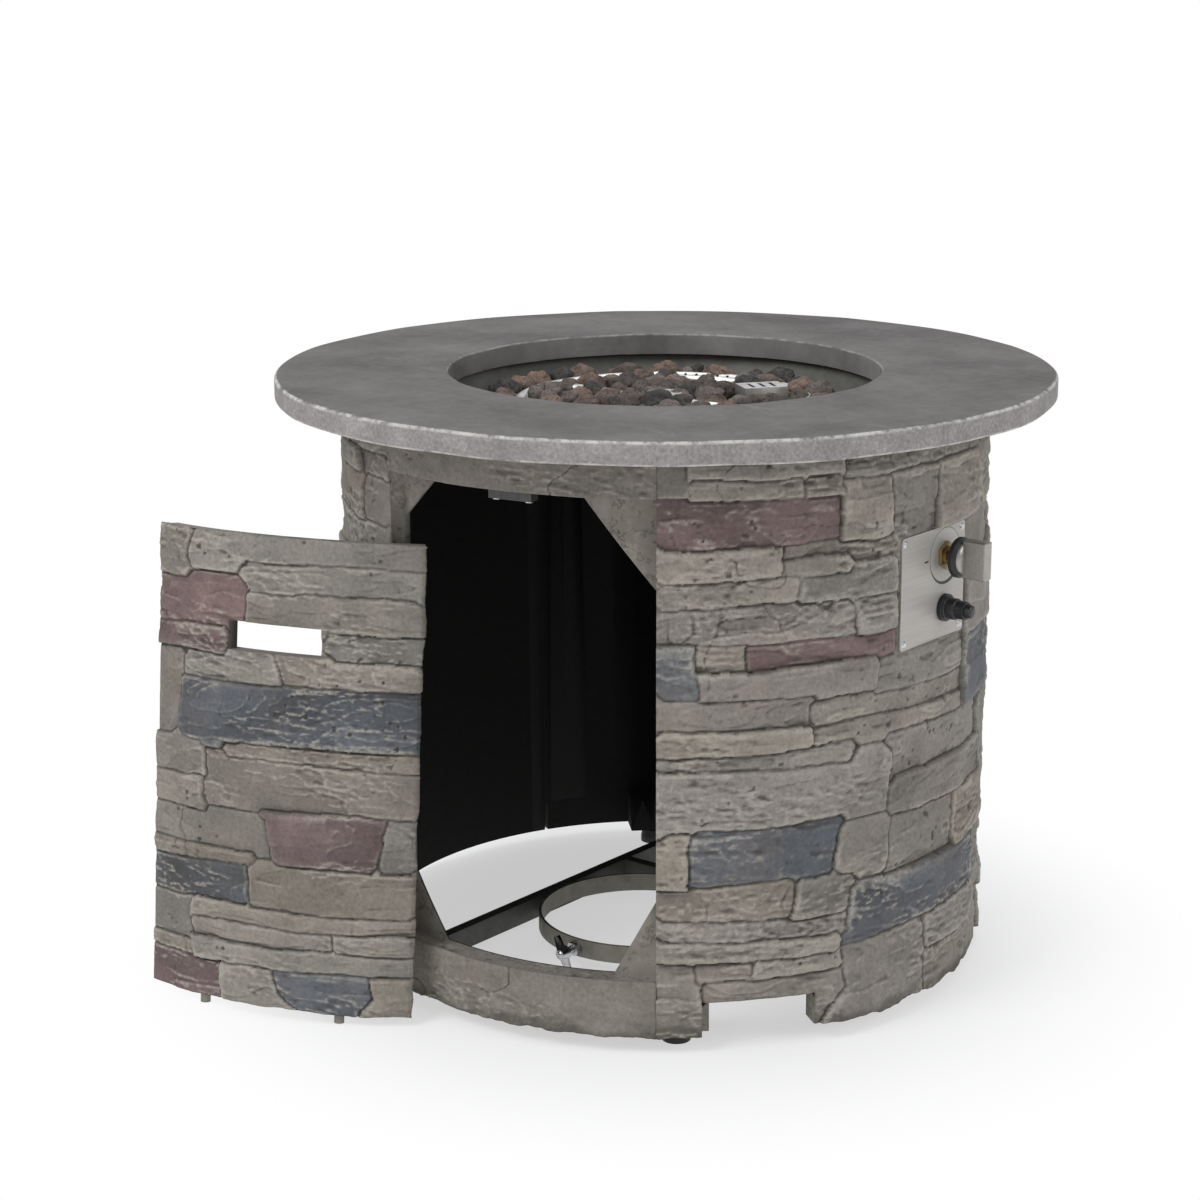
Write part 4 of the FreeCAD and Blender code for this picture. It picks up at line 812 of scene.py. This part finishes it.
def top_finish():
    made, nodes, links, surface = material("rubbed_cast_top", specular=0.06)
    cloud = patches(nodes, links, (8, 8, 0.68), ((0.30, 0.74), (0.50, 1.0), (0.70, 1.24)))
    colour = mixed(nodes, links, "MULTIPLY", 1.0, (0.156, 0.146, 0.142), cloud)
    small = patches(nodes, links, (90, 5, 0.7), ((0.28, 0.84), (0.72, 1.12)))
    colour = mixed(nodes, links, "MULTIPLY", 0.8, colour, small)
    streaks = patches(nodes, links, (16, 6, 0.72, (1.0, 2.6, 1.0)), ((0.60, 0.0), (0.74, 1.0)))
    colour = laid(nodes, links, streaks, 0.5, colour, (0.27, 0.262, 0.255))
    spots = patches(nodes, links, (34, 5, 0.7), ((0.24, 1.0), (0.34, 0.0)))
    colour = laid(nodes, links, spots, 0.45, colour, (0.09, 0.09, 0.092))
    split = nodes.new("ShaderNodeSeparateXYZ")
    facing = nodes.new("ShaderNodeNewGeometry")
    links.new(facing.outputs["Normal"], split.inputs["Vector"])
    side = nodes.new("ShaderNodeMapRange")
    side.inputs["From Min"].default_value = 0.93
    side.inputs["From Max"].default_value = 0.45
    links.new(split.outputs["Z"], side.inputs["Value"])
    grit = patches(nodes, links, (300, 6, 0.72), ((0.30, 0.185), (0.50, 0.275), (0.70, 0.385)))
    smear = patches(nodes, links, (26, 6, 0.65), ((0.32, 0.80), (0.66, 1.14)))
    grit = mixed(nodes, links, "MULTIPLY", 1.0, grit, smear)
    grit = mixed(nodes, links, "MULTIPLY", 1.0, grit, (1.06, 1.0, 0.98))
    stain = patches(nodes, links, (11, 6, 0.66),
                    ((0.30, (0.105, 0.101, 0.097)), (0.68, (0.235, 0.224, 0.216))))
    grit = mixed(nodes, links, "MIX", within(nodes, links, 0.30, 0.28), grit, stain)
    colour = laid(nodes, links, side.outputs["Result"], 0.85, colour, grit)
    bend = nodes.new("ShaderNodeMath")
    bend.operation = "ABSOLUTE"
    links.new(split.outputs["Z"], bend.inputs[0])
    rise = ramp(nodes, links, bend.outputs[0], ((0.10, 0.0), (0.45, 1.0), (0.80, 1.0), (0.97, 0.0)))
    rubbed = number(nodes, links, "MULTIPLY", rise,
                    patches(nodes, links, (45, 7, 0.78), ((0.42, 0.0), (0.56, 1.0))))
    faint = number(nodes, links, "MULTIPLY", rubbed, 0.35)
    rubbed = mixed(nodes, links, "MIX", within(nodes, links, 0.30, 0.28), rubbed, faint)
    colour = laid(nodes, links, rubbed, 0.9, colour, (0.56, 0.54, 0.51))
    links.new(colour, surface.inputs["Base Color"])
    shine = patches(nodes, links, (12, 5, 0.6), ((0.3, 0.78), (0.7, 0.95)))
    links.new(shine, surface.inputs["Roughness"])
    height = number(nodes, links, "ADD", noise(nodes, links, 60, 6, 0.65), noise(nodes, links, 14, 4, 0.5))
    bumped(nodes, links, surface, height, 0.0022, 0.5)
    return made


given(turned("top_slab", ring_profile(), 540, shape=wavy_edge), "root", "cast_top", top_finish(), "table_top")


# Metals and plastics of the burner, the controls, the floor frame and the fixings.
def metal(name, colour, roughness, metallic=1.0, mottle=0.15, grain=None, dirt=0.0, bump=0.0002, scale=60):
    """Metal with mottled colour and gloss. grain stretches the pattern along one axis, as brushing does."""
    made, nodes, links, surface = material(name)
    cloud = patches(nodes, links, (scale, 5, 0.65, grain), ((0.28, 1 - mottle), (0.72, 1 + mottle)))
    shade = mixed(nodes, links, "MULTIPLY", 1.0, colour, cloud)
    if dirt:
        spots = patches(nodes, links, (34, 5, 0.7), ((0.48, 0.0), (0.68, 1.0)))
        shade = laid(nodes, links, spots, dirt, shade, (0.05, 0.04, 0.03))
    links.new(shade, surface.inputs["Base Color"])
    surface.inputs["Metallic"].default_value = metallic
    gloss = patches(nodes, links, (scale * 1.7, 4, 0.6, grain),
                 ((0.3, max(0.05, roughness - 0.08)), (0.7, min(1.0, roughness + 0.10))))
    links.new(gloss, surface.inputs["Roughness"])
    bumped(nodes, links, surface, noise(nodes, links, scale * 3, 4, 0.6, grain), bump, 0.5)
    return made


def dress(finish, slot, *names):
    """CAD nodes that keep their own mesh."""
    for name in names:
        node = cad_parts[name]
        node.data.materials.clear()
        node.data.materials.append(finish)


zinc = metal("bright_zinc", (0.60, 0.61, 0.62), 0.28, dirt=0.2)
brass = metal("turned_brass", (0.42, 0.31, 0.15), 0.34, dirt=0.25)
pale_steel = metal("pale_stainless", (0.70, 0.69, 0.66), 0.34, 0.85, 0.10, (1, 1, 8), 0.25)
alloy = metal("die_cast_alloy", (0.42, 0.42, 0.43), 0.48, 1.0, 0.12)
tube_metal = metal("soft_tube", (0.62, 0.63, 0.64), 0.36, dirt=0.15)
black_coat = metal("black_coat", (0.020, 0.020, 0.021), 0.55, 0.0, 0.3)
bar_coat = metal("dark_bar_coat", (0.078, 0.079, 0.069), 0.55, 0.0, 0.25, dirt=0.3, bump=0.0006)
strap_dull = metal("dull_strap", (0.215, 0.205, 0.172), 0.55, 0.35, 0.18, dirt=0.35, bump=0.0004)
pan_coat = metal("heat_proof_coat", (0.135, 0.133, 0.118), 0.60, 0.1, 0.15, dirt=0.35, bump=0.0003)
rubber = metal("black_rubber", (0.012, 0.012, 0.012), 0.60, 0.0, 0.3)
magnet_grey = metal("sintered_magnet", (0.08, 0.08, 0.085), 0.6, 0.3)
cell_wrap = metal("plain_cell_wrap", (0.03, 0.10, 0.07), 0.35, 0.0, 0.1)
glaze = metal("white_glaze", (0.78, 0.76, 0.71), 0.22, 0.0, 0.06)

dress(zinc, "zinc_steel", "top_bolts", "bracket_screws", "pan_screws", "mixer_nut", "door_strike",
      "catch_screws", "frame_bolts", "plate_screws")
dress(black_coat, "black_steel", "top_brackets")
dress(magnet_grey, "magnet", "catch_magnet")
# The door catch: zinc darkened as painted shade, for the shade it sits in under the lintel.
dress(metal("zinc_painted_shade", (0.085, 0.085, 0.080), 0.5, 0.4), "zinc_steel", "door_catch")
dress(brass, "brass", "valve_inlet", "valve_bonnet", "valve_nut", "valve_stem", "stem_collar", "air_mixer")
dress(alloy, "valve_alloy", "valve_body")
dress(cell_wrap, "battery_shell", "igniter_battery")
dress(pale_steel, "stainless", "burner_posts", "thermocouple")
dress(glaze, "ceramic_white", "spark_electrode")
dress(bar_coat, "frame_steel", "bar_long", "bar_cross")
cad_copy("pan_bowl", "burner_pan", "root", pan_coat)
cad_copy("supply_pipe", "gas_pipe", "root", tube_metal)
cad_copy("hoop_strap", "tank_ring", "root", strap_dull)
cad_copy("hoop_lug", "ring_lug", "root", strap_dull)
cad_copy("screw_nut", "tank_nut", "root", zinc)
cad_copy("screw_rod_bright", "tank_screw", "screw_rod", zinc)
cad_copy("screw_wing_bright", "tank_wing", "screw_wing", zinc)
cad_copy("door_peg_pair", "door_pegs", "door", strap_dull)
for foot in range(1, 5):
    cad_copy(f"pad_{foot}", f"foot_pad_{foot}", f"foot_{foot}", rubber)
    cad_copy(f"stem_{foot}", f"foot_stem_{foot}", f"foot_{foot}", zinc)


# The burner: a ring of bright tube with a row of ports, its cross tube and hub, and the pilot's hood.
burner_radius, burner_tube, burner_height = 0.147, 0.008, 0.572


def port_marks():
    """Row of ports on the ring, as small discs of painted shade that lie on the tube and stand for the dark
    holes.
    """
    bm = bmesh.new()
    count = 76
    lift = math.radians(52)
    for port in range(count):
        turn = 2 * math.pi * port / count
        out = Vector((math.cos(turn), math.sin(turn), 0))
        normal = out * -math.cos(lift) + Vector((0, 0, math.sin(lift)))
        spot = out * burner_radius + Vector((0, 0, burner_height)) + normal * (burner_tube + 0.00012)
        turned_to = Matrix.Translation(spot) @ normal.to_track_quat("Z", "Y").to_matrix().to_4x4()
        bmesh.ops.create_circle(bm, cap_ends=True, segments=10, radius=0.0016, matrix=turned_to)
    return placed(mesh_of(bm, "burner_ports"), "burner_ports")


cad_copy("burner_tubes", "burner_ring", "root", pale_steel)
# The port discs are black as painted shade for the holes.
given(port_marks(), "root", "stainless", metal("port_painted_shade", (0.01, 0.01, 0.01), 0.9, 0.0))
cad_copy("hood_sheet", "pilot_hood", "root", pale_steel, sharp=25)


# Lava rock: lumps of pitted stone, brown to charcoal, heaped on the floor of the bowl and in places
# over the burner ring.
def lava_finish():
    made, nodes, links, surface = material("lava_rock", 0.93, 0.15)
    tint = attribute(nodes, "tint")
    cloud = patches(nodes, links, (70, 5, 0.7), ((0.28, 0.50), (0.72, 1.45)))
    colour = mixed(nodes, links, "MULTIPLY", 1.0, tint, cloud)
    cells = nodes.new("ShaderNodeTexVoronoi")
    cells.inputs["Scale"].default_value = 330
    place = nodes.new("ShaderNodeTexCoord")
    links.new(place.outputs["Object"], cells.inputs["Vector"])
    # Painted shade in the pores: the cells that sink the bump also darken the colour.
    hollow = ramp(nodes, links, cells.outputs["Distance"], ((0.12, 0.25), (0.38, 1.0)))
    colour = mixed(nodes, links, "MULTIPLY", 0.85, colour, hollow)
    links.new(colour, surface.inputs["Base Color"])
    rise = number(nodes, links, "ADD", hollow, noise(nodes, links, 210, 5, 0.75))
    bumped(nodes, links, surface, rise, 0.0022, 0.9)
    return made


lava_tints = ((0.150, 0.108, 0.088), (0.130, 0.096, 0.082), (0.118, 0.100, 0.090), (0.078, 0.068, 0.063),
              (0.150, 0.124, 0.112), (0.060, 0.055, 0.053), (0.178, 0.126, 0.100), (0.104, 0.082, 0.073))


# Lowest height, reach from the middle, tries, and smallest and largest rock of each layer.
rock_layers = ((0.5475, 0.190, 1500, (0.030, 0.042)), (0.5625, 0.172, 5000, (0.026, 0.037)))
rock_low, rock_high, rock_reach = 0.5476, 0.5995, 0.2285


def rock_spots():
    """Places and sizes for the rocks: a bed on the floor and a second, looser layer on it."""
    draw = np.random.default_rng(5)
    hood = around(0.104, math.radians(144))
    spots = []
    for low, reach, tries, sizes in rock_layers:
        layer = []
        for _ in range(tries):
            radius = reach * math.sqrt(draw.uniform(0.0, 1.0))
            turn = draw.uniform(0, 360)
            size = draw.uniform(*sizes)
            spot = around(radius, math.radians(turn))
            on_ring = abs(radius - burner_radius) < burner_tube + 0.40 * size
            bare_arc = 228 < turn < 300 or 196 < turn < 212
            if (spot - hood).length < 0.030 + 0.42 * size:
                continue
            if low < 0.55 and on_ring and abs(radius - burner_radius) < 0.012:
                continue
            if low > 0.55 and on_ring and bare_arc:
                continue
            if any((spot - other).length < 0.41 * (size + width) for other, width, _ in layer):
                continue
            layer.append((spot, size, low + size * 0.40))
        spots += layer
    return spots


def rock_heap(name, spots, seed):
    bm = bmesh.new()
    owner = bm.verts.layers.int.new("owner")
    for index in range(len(spots)):
        made = bmesh.ops.create_icosphere(bm, subdivisions=4, radius=0.5)
        for vert in made["verts"]:
            vert[owner] = index
    mesh = mesh_of(bm, name)
    count = len(mesh.vertices)
    own = np.empty(count, np.int32)
    mesh.attributes["owner"].data.foreach_get("value", own)
    unit = np.empty(count * 3, np.float32)
    mesh.vertices.foreach_get("co", unit)
    unit = unit.reshape(-1, 3).astype(float)
    draw = np.random.default_rng(seed)
    squash = draw.uniform(0.72, 1.12, (len(spots), 3))
    squash[:, 2] = draw.uniform(0.66, 0.88, len(spots))
    shift = draw.uniform(0, 90, (len(spots), 3))
    lumps = lattice(unit * 3.0 + shift[own], 71)
    knobs = lattice(unit * 7.0 + shift[own] * 1.7, 72)
    pores = lattice(unit * 17.0 + shift[own] * 2.3, 73)
    swell = 1 + 0.24 * lumps + 0.12 * knobs - 0.10 * ease(0.25, 0.75, pores)
    shaped = unit * swell[:, None] * squash[own]
    turns = draw.uniform(0, 2 * np.pi, len(spots))[own]
    x = shaped[:, 0] * np.cos(turns) - shaped[:, 1] * np.sin(turns)
    y = shaped[:, 0] * np.sin(turns) + shaped[:, 1] * np.cos(turns)
    sizes = np.array([size for _, size, _ in spots])[own]
    middle = np.array([(spot.x, spot.y, high) for spot, _, high in spots])[own]
    points = np.stack([x, y, shaped[:, 2]], axis=1) * sizes[:, None] + middle
    points[:, 2] = np.clip(points[:, 2], rock_low, rock_high)
    beyond = np.hypot(points[:, 0], points[:, 1]) / rock_reach
    points[:, :2] /= np.maximum(1.0, beyond)[:, None]
    mesh.vertices.foreach_set("co", points.astype(np.float32).ravel())
    tints = np.ones((len(spots), 4), np.float32)
    tints[:, :3] = [lava_tints[k] for k in draw.integers(0, len(lava_tints), len(spots))]
    paint = mesh.attributes.new("tint", "FLOAT_COLOR", "POINT")
    paint.data.foreach_set("color", tints[own].ravel())
    mesh.attributes.remove(mesh.attributes["owner"])
    smoothed(mesh)
    mesh.update()
    return placed(mesh, name)


lava_stone = lava_finish()
rocks = rock_spots()
for heap in range(2):
    piece = given(rock_heap(f"lava_heap_{heap + 1}", rocks[heap::2], 31 + heap), "root", "lava", lava_stone)
    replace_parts(piece, "lava_rocks")


# The controls: a brushed plate with a dial ring, the valve's knob and the igniter with its cap.
knob_y, knob_z, igniter_z = 0.021, 0.457, 0.405


def plate_finish():
    """Brushed plate with the dial's ring, its swelling arc and a start mark, and no words."""
    made, nodes, links, surface = material("dial_plate", 0.42)
    grain = noise(nodes, links, 18, 4, 0.6, (1, 1, 40))
    brushing = ramp(nodes, links, grain, ((0.3, 0.9), (0.7, 1.08)))
    colour = mixed(nodes, links, "MULTIPLY", 1.0, (0.405, 0.385, 0.36), brushing)
    place = nodes.new("ShaderNodeTexCoord")
    shift = nodes.new("ShaderNodeVectorMath")
    shift.operation = "SUBTRACT"
    shift.inputs[1].default_value = (0, knob_y, knob_z)
    links.new(place.outputs["Object"], shift.inputs[0])
    split = nodes.new("ShaderNodeSeparateXYZ")
    links.new(shift.outputs["Vector"], split.inputs["Vector"])

    def sum_of(operation, one, two=0.0):
        maths = nodes.new("ShaderNodeMath")
        maths.operation = operation
        for socket, value in ((maths.inputs[0], one), (maths.inputs[1], two)):
            if isinstance(value, bpy.types.NodeSocket):
                links.new(value, socket)
            else:
                socket.default_value = value
        return maths.outputs[0]

    y, z = split.outputs["Y"], split.outputs["Z"]
    away = sum_of("SQRT", sum_of("ADD", sum_of("MULTIPLY", y, y), sum_of("MULTIPLY", z, z)))
    off_ring = sum_of("ABSOLUTE", sum_of("SUBTRACT", away, 0.0272))
    angle = sum_of("ARCTAN2", z, y)
    swell = nodes.new("ShaderNodeMapRange")
    for socket, value in zip(("From Min", "From Max", "To Min", "To Max"), (-3.0, -1.1, 0.00028, 0.0020)):
        swell.inputs[socket].default_value = value
    links.new(angle, swell.inputs["Value"])
    in_arc = sum_of("LESS_THAN", angle, -1.0)
    half = sum_of("ADD", sum_of("MULTIPLY", swell.outputs["Result"], in_arc),
                  sum_of("MULTIPLY", sum_of("SUBTRACT", 1.0, in_arc), 0.00028))
    ring = sum_of("LESS_THAN", off_ring, half)
    dash = sum_of("MULTIPLY", sum_of("LESS_THAN", sum_of("ABSOLUTE", sum_of("ADD", z, 0.001)), 0.0008),
                  sum_of("LESS_THAN", sum_of("ABSOLUTE", sum_of("ADD", y, 0.0335)), 0.0035))
    ink = sum_of("MINIMUM", sum_of("ADD", ring, dash), 1.0)
    inside = sum_of("LESS_THAN", away, 0.0268)
    colour = mixed(nodes, links, "MIX", sum_of("MULTIPLY", inside, 0.35), colour, (0.52, 0.50, 0.475))
    colour = mixed(nodes, links, "MIX", ink, colour, (0.02, 0.02, 0.02))
    links.new(colour, surface.inputs["Base Color"])
    surface.inputs["Metallic"].default_value = 0.25
    bumped(nodes, links, surface, grain, 0.00008, 0.4)
    return made


def knob_bar():
    bm = bmesh.new()
    made = bmesh.ops.create_cube(bm, size=1.0)
    bmesh.ops.scale(bm, vec=(0.0255, 0.0128, 0.0372), verts=made["verts"])
    bmesh.ops.bevel(bm, geom=bm.edges[:], offset=0.0014, segments=4, profile=0.6, affect="EDGES")
    bmesh.ops.translate(bm, vec=(0.3601, knob_y, knob_z), verts=bm.verts)
    mesh = mesh_of(bm, "knob_bar")
    smoothed(mesh, 40)
    return placed(mesh, "knob_bar")


def knob_piece(name, profile, height, finish, slot, body, *stands_for):
    piece = turned(name, profile, 96, (0, knob_y, height), (1, 0, 0))
    return given(piece, body, slot, finish, *stands_for)


moulded = metal("moulded_black", (0.010, 0.010, 0.011), 0.38, 0.0, 0.3, bump=0.0001)
polished = metal("polished_black", (0.022, 0.023, 0.024), 0.24, 0.0, 0.2, bump=0.00005)
satin = metal("satin_plated", (0.36, 0.34, 0.32), 0.27, 0.95, 0.10, (30, 1, 1))
dress(plate_finish(), "brushed_plate", "control_plate")
skirt_outline = ((0, 0.339), (0.0185, 0.339), (0.0194, 0.3393), (0.0199, 0.3400), (0.0200, 0.3434),
                 (0.0195, 0.3442), (0.0167, 0.3470), (0, 0.3470))
knob_piece("knob_skirt_turned", skirt_outline, knob_z, moulded, "black_plastic", "knob", "knob_skirt")
dome_outline = tuple((0.0164 * math.cos(math.radians(a)), 0.3470 + 0.0060 * math.sin(math.radians(a)))
                     for a in range(0, 91, 6))
knob_piece("knob_dome", ((0, 0.3470),) + dome_outline, knob_z, satin, "chrome_knob", "knob", "knob_grip")
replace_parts(given(knob_bar(), "knob", "chrome_knob", satin), "knob_grip")
nut_outline = ((0.0112, 0.3250), (0.0130, 0.3250), (0.0135, 0.3255), (0.0135, 0.3292), (0.0128, 0.3300),
               (0.0112, 0.3300), (0.0112, 0.3250))
knob_piece("igniter_ring_nut", nut_outline, igniter_z, moulded, "black_plastic", "root", "igniter_nut")
cad_copy("igniter_tube", "igniter_housing", "root", moulded)
cap_outline = ((0, 0.3323), (0.0100, 0.3323), (0.0105, 0.3328), (0.0105, 0.3400), (0.0101, 0.3406),
               (0.0092, 0.3411), (0.0090, 0.3418), (0.0090, 0.3506), (0.0085, 0.3512), (0.0070, 0.3513),
               (0.0066, 0.3508), (0.0066, 0.3355), (0, 0.3355))
knob_piece("igniter_cap_turned", cap_outline, igniter_z, moulded, "black_plastic", "igniter_cap_body",
           "igniter_cap")
button_outline = ((0, 0.3402), (0.0064, 0.3402), (0.0065, 0.3560), (0.0062, 0.3572), (0.0052, 0.3580),
                  (0.0025, 0.3583), (0, 0.3583))
knob_piece("igniter_button_turned", button_outline, igniter_z, polished, "button_plastic", "button",
           "igniter_button")
